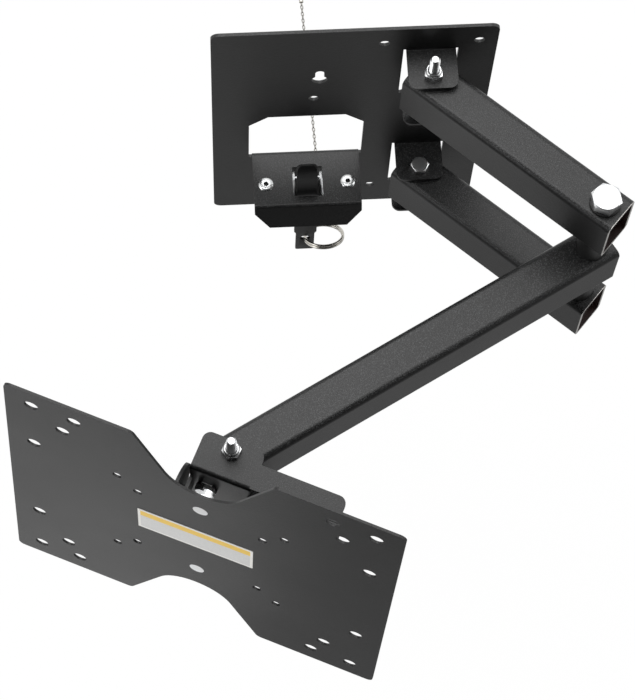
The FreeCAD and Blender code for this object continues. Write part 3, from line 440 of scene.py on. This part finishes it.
def dress_frame():
    arm_way = (ELBOW - CLEVIS).normalized()
    fore_way = (ELBOW - HEAD).normalized()
    upper = (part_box("upper_arm_tube")[0].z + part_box("upper_arm_tube")[1].z) / 2
    lower = (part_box("lower_arm_tube")[0].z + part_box("lower_arm_tube")[1].z) / 2
    middle = (upper + lower) / 2
    tubes = (
        ("upper_arm_coat", "upper_arm_tube", arm_way, upper),
        ("lower_arm_coat", "lower_arm_tube", arm_way, lower),
        ("forearm_coat", "forearm_tube", fore_way, middle),
    )
    for coat, tube, way, high in tubes:
        centre = Vector((ELBOW.x, ELBOW.y, high))
        give(tube_coat(coat, ELBOW + way * TUBE_END, way, centre), tube)
    give(powder_coat("wall_coat"), "wall_plate")
    give(powder_coat("bracket_coat"), "swivel_bracket")
    give(powder_coat("tilt_coat"), "tilt_bracket")
    give(powder_coat("screen_coat", COAT_TONE * 1.1, 0.2), "screen_plate")
    give(zinc("rivet_zinc", 0.76, 0.28), "latch_pin")
    give(zinc("tilt_zinc"), "tilt_bolt", "tilt_nut", "stud_nuts", "swivel_lock_nut")
    give(zinc("washer_zinc", 0.72, 0.26), "elbow_washer")
    give(zinc("lock_zinc", 0.80, 0.24), "plate_studs")
    give(nylon("washer_nylon"), "clevis_washers", "swivel_washers", "tilt_washers")
    give(nylon("bush_nylon", 0.012), "arm_bushes", "elbow_bush", "head_bush", "clevis_spacers")
    give(smooth_coat("elbow_spacer", 0.010), "elbow_spacers")
    give(spring_wire("spring_steel"), "latch_spring")
    give(nickel("fitting_nickel"), "chain_fitting")
    give(label_film("label_film"), "plate_label")


# Modelling helpers
def start_piece():
    if bpy.context.object and bpy.context.object.mode != "OBJECT":
        bpy.ops.object.mode_set(mode="OBJECT")
    bpy.ops.object.select_all(action="DESELECT")


def settle(name, material, body):
    """Names the active piece, puts its place into its mesh and lets it ride."""
    piece = bpy.context.object
    bpy.ops.object.transform_apply(location=True, rotation=True, scale=True)
    piece.name = name
    piece.data.name = name
    piece.data.materials.clear()
    piece.data.materials.append(material)
    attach(piece, body)
    return piece


def apply_all(piece):
    bpy.context.view_layer.objects.active = piece
    for modifier in list(piece.modifiers):
        bpy.ops.object.modifier_apply(modifier=modifier.name)


def outward(piece):
    bpy.ops.object.mode_set(mode="EDIT")
    bpy.ops.mesh.select_all(action="SELECT")
    bpy.ops.mesh.remove_doubles(threshold=1e-6)
    bpy.ops.mesh.normals_make_consistent(inside=False)
    bpy.ops.object.mode_set(mode="OBJECT")


def screw_up(piece, turns, offset, steps):
    screw = piece.modifiers.new("turns", "SCREW")
    screw.iterations = turns
    screw.screw_offset = offset
    screw.steps = steps
    screw.render_steps = steps
    screw.use_merge_vertices = True
    screw.merge_threshold = 1e-6
    apply_all(piece)
    outward(piece)


def profile(points, filled):
    """Closed profile of (radius, height) points in millimetres, ready to be turned about Z."""
    start_piece()
    fill = "NGON" if filled else "NOTHING"
    bpy.ops.mesh.primitive_circle_add(vertices=len(points), radius=MM, fill_type=fill)
    piece = bpy.context.object
    for vertex, (radius, height) in zip(piece.data.vertices, points):
        vertex.co = (radius * MM, 0, height * MM)
    return piece


def turned(points, steps=40):
    piece = profile(points, False)
    screw_up(piece, 1, 0, steps)
    return piece


def thread(radius, pitch, low, high):
    """Ridge wound up the shank between two heights."""
    root = radius - 0.55 * pitch
    piece = profile([(root, low), (radius, low + 0.44 * pitch), (root, low + 0.88 * pitch)], True)
    screw_up(piece, int((high - low) / pitch), pitch * MM, 24)
    return piece


def slab(points, low, high, way="Y"):
    """Outline of (x, z) points between two y planes, or of (y, z) points between two x planes."""
    start_piece()
    bpy.ops.mesh.primitive_circle_add(vertices=len(points), radius=MM, fill_type="NGON")
    piece = bpy.context.object
    for vertex, (side, height) in zip(piece.data.vertices, points):
        vertex.co = (side * MM, low * MM, height * MM) if way == "Y" else (low * MM, side * MM, height * MM)
    push = (0, (high - low) * MM, 0) if way == "Y" else ((high - low) * MM, 0, 0)
    bpy.ops.object.mode_set(mode="EDIT")
    bpy.ops.mesh.select_all(action="SELECT")
    bpy.ops.mesh.extrude_region_move(TRANSFORM_OT_translate={"value": push})
    bpy.ops.object.mode_set(mode="OBJECT")
    outward(piece)
    return piece


def round_edges(piece, width, segments=3, angle=30):
    start_piece()
    bevel = piece.modifiers.new("edges", "BEVEL")
    bevel.width = width * MM
    bevel.segments = segments
    bevel.limit_method = "ANGLE"
    bevel.angle_limit = math.radians(angle)
    apply_all(piece)


def rod(radius, start, end, sides=48):
    """Round rod between two points in millimetres."""
    start, end = Vector(start), Vector(end)
    length = (end - start).length
    piece = turned([(0, 0), (radius, 0), (radius, length), (0, length)], sides)
    turn = UP.rotation_difference(end - start).to_matrix().to_4x4()
    piece.data.transform(Matrix.Translation(start * MM) @ turn)
    return piece


def hex_block(across, tall, bore=None):
    """Hexagon with a chamfered top face, and a bore where one is given."""
    corner = across / math.sqrt(3)
    start_piece()
    bpy.ops.mesh.primitive_cylinder_add(vertices=6, radius=corner * MM, depth=tall * MM,
                                        location=(0, 0, tall * MM / 2))
    block = bpy.context.object
    face = across * 0.475
    cone = turned([(0, 0), (face + tall * math.sqrt(3), 0), (face, tall), (0, tall)], 72)
    carve(block, cone, "INTERSECT")
    if bore:
        drill = turned([(0, -1), (bore, -1), (bore, tall + 1), (0, tall + 1)], 48)
        carve(block, drill, "DIFFERENCE")
    return block


def carve(piece, tool, operation):
    start_piece()
    piece.select_set(True)
    bpy.context.view_layer.objects.active = piece
    boolean = piece.modifiers.new("carve", "BOOLEAN")
    boolean.operation = operation
    boolean.solver = "EXACT"
    boolean.object = tool
    apply_all(piece)
    bpy.data.objects.remove(tool)


def joined(pieces):
    start_piece()
    for piece in pieces:
        piece.select_set(True)
    bpy.context.view_layer.objects.active = pieces[0]
    bpy.ops.object.join()
    return bpy.context.object


def stand(piece, at, way, spin=0.0):
    """Moves the mesh so that its Z runs along the way from the place, in millimetres."""
    turn = UP.rotation_difference(way).to_matrix().to_4x4()
    piece.data.transform(Matrix.Translation(at) @ turn @ Matrix.Rotation(math.radians(spin + 30), 4, "Z"))
    return piece


# Bolts and nuts with threads, chamfered hexagons and locking rings
def bolt(across, head, radius, pitch, length, threaded):
    """Head above Z zero, shank below it, its end threaded and pointed."""
    root = radius - 0.55 * pitch
    end = -length
    shank = turned([
        (0, end), (root - 0.5, end), (root + 0.05, end + 0.6), (root + 0.05, end + threaded),
        (radius, end + threaded + 0.6), (radius, 0.2), (0, 0.2),
    ])
    washer_face = turned([(0, 0), (across * 0.47, 0), (across * 0.47, 0.4), (0, 0.4)], 60)
    block = hex_block(across, head - 0.3)
    block.data.transform(Matrix.Translation((0, 0, 0.3 * MM)))
    return joined([block, washer_face, shank, thread(radius, pitch, end + 0.5, end + threaded)])


def grade_ticks(high):
    """Three short raised dashes on a bolt head, a third of a turn apart."""
    ticks = []
    for number in range(3):
        dash = [(3.2, high - 0.1), (5.8, high - 0.1), (5.7, high + 0.18), (3.3, high + 0.18)]
        tick = slab(dash, -0.32, 0.32)
        tick.data.transform(Matrix.Rotation(math.radians(120 * number + 20), 4, "Z"))
        ticks.append(tick)
    return ticks


def lock_nut(across, tall, radius):
    """Hexagon with a crimped collar round its locking ring."""
    hex_tall = tall * 0.7
    block = hex_block(across, hex_tall, radius)
    collar = turned([
        (radius, hex_tall - 0.3), (across * 0.475, hex_tall - 0.3), (across * 0.475, tall * 0.82),
        (across * 0.45, tall * 0.94), (across * 0.41, tall), (across * 0.36, tall - 0.05),
        (across * 0.355, tall - 0.4), (radius, tall - 0.4),
    ], 60)
    return joined([block, collar])


def locking_ring(across, tall, radius):
    return turned([
        (radius, tall - 0.38), (across * 0.35, tall - 0.38),
        (across * 0.345, tall - 0.12), (radius, tall - 0.12),
    ], 48)


def finish_fastener(pieces, name, material, body, slot, *nodes):
    piece = joined(pieces) if len(pieces) > 1 else pieces[0]
    start_piece()
    piece.select_set(True)
    bpy.context.view_layer.objects.active = piece
    bpy.ops.object.shade_smooth_by_angle(angle=math.radians(28))
    settle(name, material, body)
    if nodes:
        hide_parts(*nodes)


def spot(x, y, z):
    return Vector((x, y, z * MM))


def fasteners():
    metal = zinc("bolt_zinc")
    nut_metal = zinc("nut_zinc", 0.74, 0.2)
    insert = nylon("insert_nylon", 0.05)
    down = -UP
    x, y = CLEVIS.x, CLEVIS.y
    span = EAR_TOP - EAR_LOW
    small = (SMALL_HEX, SMALL_HEAD, SMALL_RADIUS, SMALL_PITCH)
    high = stand(bolt(*small, span + STUD_OUT, THREAD_LONG), spot(x, y, EAR_LOW), down)
    low = stand(bolt(*small, span + STUD_LOW, THREAD_SHORT), spot(x, y, EAR_TOP - CLEVIS_STEP), UP)
    finish_fastener([high, low], "clevis_bolts_threaded", metal, "wall", "bolt_zinc", "clevis_bolts")
    places = ((spot(x, y, EAR_TOP), UP), (spot(x, y, EAR_LOW - CLEVIS_STEP), down))
    nuts = [stand(lock_nut(SMALL_HEX, SMALL_NUT, SMALL_RADIUS), at, way, SMALL_TURN) for at, way in places]
    finish_fastener(nuts, "clevis_nuts_crimped", nut_metal, "wall", "nut_zinc", "clevis_nuts")
    rings = [stand(locking_ring(SMALL_HEX, SMALL_NUT, SMALL_RADIUS), at, way) for at, way in places]
    finish_fastener(rings, "clevis_nut_rings", insert, "wall", "washer_nylon")
    x, y = HEAD.x, HEAD.y
    length = FLANGE_TOP - FLANGE_LOW + STUD_OUT
    swivel = stand(bolt(*small, length, THREAD_LONG), spot(x, y, FLANGE_LOW), down)
    finish_fastener([swivel], "swivel_bolt_threaded", metal, "head", "bolt_zinc", "swivel_bolt")
    head_turn = SMALL_TURN + math.degrees(math.atan2(TILT_AXIS.y, TILT_AXIS.x))
    nut = stand(lock_nut(SMALL_HEX, SMALL_NUT, SMALL_RADIUS), spot(x, y, FLANGE_TOP), UP, head_turn)
    finish_fastener([nut], "swivel_nut_crimped", nut_metal, "head", "nut_zinc", "swivel_nut")
    ring = stand(locking_ring(SMALL_HEX, SMALL_NUT, SMALL_RADIUS), spot(x, y, FLANGE_TOP), UP)
    finish_fastener([ring], "swivel_nut_ring", insert, "head", "washer_nylon")
    x, y = ELBOW.x, ELBOW.y
    way = ELBOW - CLEVIS
    turn = ELBOW_TURN + math.degrees(math.atan2(way.y, way.x))
    length = ELBOW_TOP - ELBOW_LOW + ELBOW_STUD
    plain = bolt(ELBOW_HEX, ELBOW_HEAD, ELBOW_RADIUS, ELBOW_PITCH, length, ELBOW_THREAD)
    large = joined([plain] + grade_ticks(ELBOW_HEAD))
    finish_fastener([stand(large, spot(x, y, ELBOW_TOP), UP, turn)], "elbow_bolt_threaded",
                    zinc("elbow_zinc", 0.76, 0.24), "arm", "elbow_zinc", "elbow_bolt")
    nut = stand(lock_nut(ELBOW_HEX, ELBOW_NUT, ELBOW_RADIUS), spot(x, y, ELBOW_LOW), down, turn)
    finish_fastener([nut], "elbow_nut_crimped", nut_metal, "arm", "nut_zinc", "elbow_nut")
    ring = stand(locking_ring(ELBOW_HEX, ELBOW_NUT, ELBOW_RADIUS), spot(x, y, ELBOW_LOW), down)
    finish_fastener([ring], "elbow_nut_ring", insert, "arm", "washer_nylon")


def elbow_cap(material):
    """Thick washer with rounded edges under the head of the elbow bolt."""
    low = ELBOW_TOP - CAP_THICK
    ring = turned([
        (CAP_BORE, low), (CAP_LOW_FLAT, low), (CAP_RADIUS, low + CAP_LOW_EDGE),
        (CAP_RADIUS, ELBOW_TOP - CAP_TOP_EDGE), (CAP_TOP_FLAT, ELBOW_TOP), (CAP_BORE, ELBOW_TOP),
    ], 72)
    ring.data.transform(Matrix.Translation((ELBOW.x, ELBOW.y, 0)))
    finish_fastener([ring], "elbow_cap_ring", material, "arm", "washer_nylon", "elbow_cap_washer")


# Latch: nose block on its strip, folded housing and blind rivets
def latch_nose(material):
    """Rounded nose block on its strip; the block leans left in its play, as the photograph shows."""
    reach = NOSE_HALF + 0.02
    block = slab(NOSE_OUTLINE, LATCH_X - NOSE_HALF, LATCH_X + NOSE_HALF, "X")
    crown = [(LATCH_X + reach, -60), (LATCH_X - reach, -60)]
    for step in range(CROWN_STEPS + 1):
        angle = math.pi * (1 - step / CROWN_STEPS)
        side = math.copysign(abs(math.cos(angle)) ** 0.55, math.cos(angle))
        crown.append((LATCH_X + reach * side, CROWN_LOW + CROWN_RISE * math.sin(angle) ** 0.8))
    carve(block, slab(crown, -32, -23), "INTERSECT")
    round_edges(block, 0.45, 3, 32)
    left, right = LATCH_X - STRIP_HALF, LATCH_X + STRIP_HALF
    slim_left, slim_right = LATCH_X - STRIP_SLIM, LATCH_X + STRIP_SLIM
    strip = slab([
        (left, STRIP_SHOULDER), (slim_left, STRIP_WAIST), (slim_left, STRIP_END + 0.9),
        (slim_left + 0.9, STRIP_END), (slim_right - 0.9, STRIP_END), (slim_right, STRIP_END + 0.9),
        (slim_right, STRIP_WAIST), (right, STRIP_SHOULDER), (right, STRIP_TOP - 0.6),
        (right - 0.6, STRIP_TOP), (left + 0.6, STRIP_TOP), (left, STRIP_TOP - 0.6),
    ], STRIP_FRONT, STRIP_BACK)
    eye = (RING_HOLE.x / MM, RING_HOLE.z / MM)
    carve(strip, rod(STRIP_EYE, (eye[0], -26, eye[1]), (eye[0], -20, eye[1])), "DIFFERENCE")
    round_edges(strip, 0.25, 2, 40)
    lean = Matrix.Translation((LATCH_X * MM, 0, NOSE_LEAN_HIGH)) @ Matrix.Rotation(NOSE_LEAN, 4, "Y")
    lean = lean @ Matrix.Translation((-LATCH_X * MM, 0, -NOSE_LEAN_HIGH))
    block.data.transform(lean)
    finish_fastener([block, strip], "latch_bolt_nose", material, "latch", "latch_coat", "latch_bolt")


def latch_channel(material):
    """Folded channel under the tongue; the top of its walls is cut away at the rear."""
    inside, bend, reach = CHANNEL_INSIDE, CHANNEL_BEND, CHANNEL_REACH
    top, deep = HOUSING_TOP, HOUSING_TOP - CHANNEL_TALL
    outside = inside + CHANNEL_SKIN
    half = [
        (reach, top), (inside + bend, top), (inside + bend * 0.3, top - bend * 0.3),
        (inside, top - bend), (inside, deep + CHANNEL_SKIN),
    ]
    under = [(outside, deep + bend), (outside, top - CHANNEL_SKIN), (reach, top - CHANNEL_SKIN)]
    right = [(LATCH_X + x, z) for x, z in half] + [(LATCH_X - x, z) for x, z in reversed(half)]
    left = [(LATCH_X - x, z) for x, z in reversed(under)]
    base = [(LATCH_X - outside + bend, deep), (LATCH_X + outside - bend, deep)]
    outline = right + left + base + [(LATCH_X + x, z) for x, z in under]
    channel = slab(outline, CHANNEL_FRONT, CHANNEL_BACK)
    cut = [
        (LATCH_X - CUT_HALF, top - CUT_DEEP), (LATCH_X + CUT_HALF, top - CUT_DEEP),
        (LATCH_X + CUT_HALF, top + 1), (LATCH_X - CUT_HALF, top + 1),
    ]
    carve(channel, slab(cut, CUT_FRONT, -11.0), "DIFFERENCE")
    for side in (-1, 1):
        x = RIVET_X + side * RIVET_APART / 2
        carve(channel, rod(RIVET_HOLE, (x, RIVET_Y, top - 3), (x, RIVET_Y, top + 1)), "DIFFERENCE")
    pin_ends = (LATCH_X - 12, PIN_Y, PIN_HIGH), (LATCH_X + 12, PIN_Y, PIN_HIGH)
    carve(channel, rod(PIN_RADIUS, *pin_ends, 24), "DIFFERENCE")
    slot = [
        (LATCH_X - SLOT_HALF, deep - 1), (LATCH_X + SLOT_HALF, deep - 1),
        (LATCH_X + SLOT_HALF, deep + 3), (LATCH_X - SLOT_HALF, deep + 3),
    ]
    carve(channel, slab(slot, SLOT_FRONT, SLOT_BACK), "DIFFERENCE")
    finish_fastener([channel], "latch_channel", material, "wall", "housing_zinc", "latch_housing")


def rivet_metal(name):
    """Zinc with near-black painted shade in the bore of each rivet."""
    paint = Paint(name)
    middle = Vector((RIVET_X * MM, RIVET_Y * MM, 0))
    x = paint.size_of(paint.along(Vector((1, 0, 0)), middle)) - RIVET_APART * MM / 2
    y = paint.along(Vector((0, 1, 0)), middle)
    bore = x * x + y * y < (RIVET_BORE * MM) ** 2
    cloud = paint.noise(160.0, 3.0, 0.55)
    metal = paint.mix(cloud, (0.62, 0.65, 0.68, 1), (0.76, 0.75, 0.72, 1))
    # Painted shade: the bore is coloured near-black where the hollow of the rivet reads dark.
    colour = paint.mix(bore, metal, (0.02, 0.02, 0.02, 1))
    normal = paint.bump(paint.noise(2400.0, 2.0, 0.5), 0.00004, 0.25)
    return paint.surface(Base_Color=colour, Metallic=1.0, Roughness=0.22 + cloud * 0.12, Normal=normal)


def blind_rivets(material):
    rivets = []
    for side in (-1, 1):
        rivet = turned([
            (0, -0.5), (RIVET_BORE - 0.05, -0.5), (RIVET_BORE, 0.7), (1.55, 1.0), (2.6, 1.05),
            (3.8, 0.8), (4.4, 0.4), (4.65, 0.05), (4.6, 0), (2.4, 0), (2.4, -3.5), (3.3, -3.55),
            (3.5, -3.9), (3.1, -4.4), (2.0, -4.6), (0, -4.6),
        ], 48)
        x = RIVET_X + side * RIVET_APART / 2
        rivet.data.transform(Matrix.Translation(Vector((x, RIVET_Y, TONGUE_TOP)) * MM))
        rivets.append(rivet)
    finish_fastener(rivets, "latch_rivets_blind", material, "wall", "rivet_zinc", "latch_rivets")


def lock_bolt(material):
    """Hexagon bolt across the head, seen in the notch of the screen plate."""
    front = Vector((TILT.x - HEAD.x, TILT.y - HEAD.y, 0)).normalized()
    at = Vector((HEAD.x, HEAD.y, LOCK_HIGH * MM)) + TILT_AXIS * LOCK_SIDE * MM + front * LOCK_OUT * MM
    short = bolt(LOCK_HEX, LOCK_HEAD, SMALL_RADIUS, SMALL_PITCH, LOCK_SHANK, LOCK_THREAD)
    piece = stand(short, at, front, LOCK_TURN)
    finish_fastener([piece], "swivel_lock_bolt_turned", material, "head", "lock_zinc", "swivel_lock_bolt")


# Split ring: two close turns of wire with their ends side by side
def split_ring(material):
    start_piece()
    bpy.ops.mesh.primitive_circle_add(vertices=14, radius=RING_WIRE * 0.95, fill_type="NGON",
                                      rotation=(math.pi / 2, 0, 0), location=(RING_RADIUS, 0, 0))
    piece = bpy.context.object
    bpy.ops.object.transform_apply(location=True, rotation=True, scale=True)
    screw = piece.modifiers.new("turns", "SCREW")
    screw.angle = 2 * math.pi * RING_TURNS
    screw.screw_offset = RING_WIRE * 1.7 * RING_TURNS
    screw.steps = 120
    screw.render_steps = 120
    screw.use_merge_vertices = True
    screw.merge_threshold = 1e-6
    apply_all(piece)
    outward(piece)
    rise = Matrix.Translation((0, 0, -RING_WIRE * 1.7 * RING_TURNS / 2))
    start_turn = Matrix.Rotation(math.radians(150), 4, "Z")
    centre = RING_HOLE + Vector((RING_RADIUS, 0, 0))
    piece.data.transform(Matrix.Translation(centre) @ Matrix.Rotation(RING_TILT, 4, "X") @ rise @ start_turn)
    bpy.ops.object.shade_smooth()
    settle("split_ring_wire", material, "pull")
    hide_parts("split_ring")


# Pull chain: small welded links, each a quarter turn from the last
def one_link():
    start_piece()
    bpy.ops.mesh.primitive_torus_add(major_radius=CHAIN_WIDE / 2 - CHAIN_WIRE, minor_radius=CHAIN_WIRE,
                                     major_segments=14, minor_segments=6)
    link = bpy.context.object
    stretch = CHAIN_PITCH / 2 + CHAIN_WIRE - CHAIN_WIDE / 2 + 0.00002
    for vertex in link.data.vertices:
        if vertex.co.y > 0.00001:
            vertex.co.y += stretch
        elif vertex.co.y < -0.00001:
            vertex.co.y -= stretch
    return link


def pull_chain(material):
    low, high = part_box("pull_chain")
    start_y = low.y + CHAIN_WIDE * math.sin(CHAIN_YAW) / 2
    start = Vector((RING_HOLE.x + RING_RADIUS, start_y, (low.z + high.z) / 2))
    reach = (CHAIN_FAR - start.y) / math.cos(CHAIN_YAW)
    swing = Matrix.Rotation(CHAIN_YAW, 4, "Z")
    link = one_link()
    mesh = link.data
    count = int(reach / CHAIN_PITCH)
    pitch = reach / count
    made = []
    for number in range(count):
        turn = Matrix.Rotation(math.radians(12 + 90 * (number % 2)), 4, "Y")
        place = Matrix.Translation(start) @ swing @ Matrix.Translation((0, (number + 0.5) * pitch, 0))
        copy = bpy.data.objects.new("link", mesh.copy())
        copy.data.transform(place @ turn)
        bpy.context.collection.objects.link(copy)
        made.append(copy)
    bpy.data.objects.remove(link)
    start_piece()
    for copy in made:
        copy.select_set(True)
    bpy.context.view_layer.objects.active = made[0]
    bpy.ops.object.join()
    bpy.ops.object.shade_smooth()
    piece = settle("pull_chain_links", material, "pull")
    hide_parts("pull_chain")


# Stage
def studio():
    scene = bpy.context.scene
    scene.view_settings.view_transform = "Standard"
    floor_level = CAD_BOX[0][2] - FLOOR_DROP
    start_piece()
    bpy.ops.mesh.primitive_plane_add(size=14, location=(-0.05, -0.05, floor_level))
    floor = bpy.context.object
    floor.name = "floor"
    floor.data.materials.append(pale_stage("floor_white"))
    world = bpy.data.worlds.new("studio")
    scene.world = world
    world.use_nodes = True
    background(world.node_tree)
    lamp("key", (-0.25, 0.55, 1.9), (-0.03, -0.12, 0), 1.3, 18.0)
    lamp("left", (-1.6, -0.5, 1.0), (-0.05, -0.12, 0), 1.0, 8.0)
    lamp("right", (1.4, 0.2, 1.2), (-0.02, -0.12, 0), 1.0, 7.0)
    card("floor_card", (0.80, -0.90, -0.34), (2.0, 2.0), 0, 0.42)
    card("front_card", (-1.2, -1.10, -0.34), (2.0, 1.2), 0, 0.10)
    card("far_card", (0.0, -1.7, 0.75), (4.4, 2.1), math.pi / 2, 0.01)
    card("sky_card", (0.0, -1.0, 1.85), (4.4, 1.4), 0, 0.03)


def card(name, place, size, lean, tone):
    """Grey card that only reflections see, so that the fronts keep their dark tones."""
    start_piece()
    bpy.ops.mesh.primitive_plane_add(size=1, location=place, rotation=(lean, 0, 0))
    piece = bpy.context.object
    piece.name = name
    piece.scale = (size[0], size[1], 1)
    paint = Paint(name)
    colour = paint.mix(paint.noise(3.0, 2.0, 0.5), rgba(tone * 0.9), rgba(tone * 1.1))
    glow = paint.node("ShaderNodeEmission", {}, {"Color": colour, "Strength": 1.0})
    paint.node("ShaderNodeOutputMaterial", {}, {"Surface": glow})
    piece.data.materials.append(paint.material)
    piece.visible_camera = False
    piece.visible_diffuse = False
    piece.visible_shadow = False


def pale_stage(name):
    """White to the camera and in reflections, and a plain pale surface that keeps the shadow otherwise."""
    paint = Paint(name)
    grain = paint.noise(3.0, 2.0, 0.5)
    colour = paint.mix(grain, (0.82, 0.82, 0.82, 1), (0.84, 0.84, 0.84, 1))
    matt = paint.node("ShaderNodeBsdfDiffuse", {}, {"Color": colour})
    glow = paint.node("ShaderNodeEmission", {}, {"Color": (1, 1, 1, 1), "Strength": 1.0})
    path = paint.node("ShaderNodeLightPath")
    seen = path + path.part("Is Glossy Ray") + path.part("Is Transmission Ray")
    seen = paint.node("ShaderNodeMath", {"operation": "MINIMUM"}, {0: seen, 1: 1.0})
    mixed = paint.node("ShaderNodeMixShader", {}, {0: seen * 0.96, 1: matt, 2: glow})
    paint.node("ShaderNodeOutputMaterial", {}, {"Surface": mixed})
    return paint.material


def background(tree):
    tree.nodes.clear()
    path = tree.nodes.new("ShaderNodeLightPath")
    light = tree.nodes.new("ShaderNodeBackground")
    light.inputs["Color"].default_value = (1, 1, 1, 1)
    light.inputs["Strength"].default_value = 0.80
    white = tree.nodes.new("ShaderNodeBackground")
    white.inputs["Color"].default_value = (1, 1, 1, 1)
    white.inputs["Strength"].default_value = 1.0
    seen = tree.nodes.new("ShaderNodeMath")
    seen.operation = "MAXIMUM"
    mixed = tree.nodes.new("ShaderNodeMixShader")
    out = tree.nodes.new("ShaderNodeOutputWorld")
    tree.links.new(path.outputs["Is Camera Ray"], seen.inputs[0])
    tree.links.new(path.outputs["Is Glossy Ray"], seen.inputs[1])
    tree.links.new(seen.outputs[0], mixed.inputs[0])
    tree.links.new(light.outputs[0], mixed.inputs[1])
    tree.links.new(white.outputs[0], mixed.inputs[2])
    tree.links.new(mixed.outputs[0], out.inputs["Surface"])


def lamp(name, place, target, size, power):
    data = bpy.data.lights.new(name, "AREA")
    data.size = size
    data.energy = power
    thing = bpy.data.objects.new(name, data)
    bpy.context.collection.objects.link(thing)
    thing.location = place
    thing.rotation_euler = (Vector(target) - Vector(place)).to_track_quat("-Z", "Y").to_euler()


def camera():
    data = bpy.data.cameras.new("camera")
    thing = bpy.data.objects.new("camera", data)
    bpy.context.collection.objects.link(thing)
    data.lens = CAMERA_LENS
    data.sensor_width = 36
    data.sensor_fit = "AUTO"
    data.clip_end = 20
    turn = Matrix.Rotation(CAMERA_AZIMUTH, 4, "Z")
    nod = Matrix.Rotation(math.pi / 2 - CAMERA_ELEVATION, 4, "X")
    roll = Matrix.Rotation(CAMERA_ROLL, 4, "Z")
    thing.matrix_world = Matrix.Translation(CAMERA_PLACE) @ turn @ nod @ roll
    bpy.context.scene.camera = thing


dress_frame()
fasteners()
elbow_cap(nylon("cap_washer_round"))
latch_nose(smooth_coat("latch_nose_coat"))
# Painted shade: the channel's zinc is made half as bright, for its place deep in the slot under the tongue.
latch_channel(zinc("channel_zinc_painted_shade", 0.36, 0.30))
blind_rivets(rivet_metal("rivet_faces"))
lock_bolt(zinc("lock_bolt_zinc", 0.80, 0.18))
split_ring(nickel("ring_nickel"))
pull_chain(nickel("chain_nickel", 0.34))
studio()
camera()
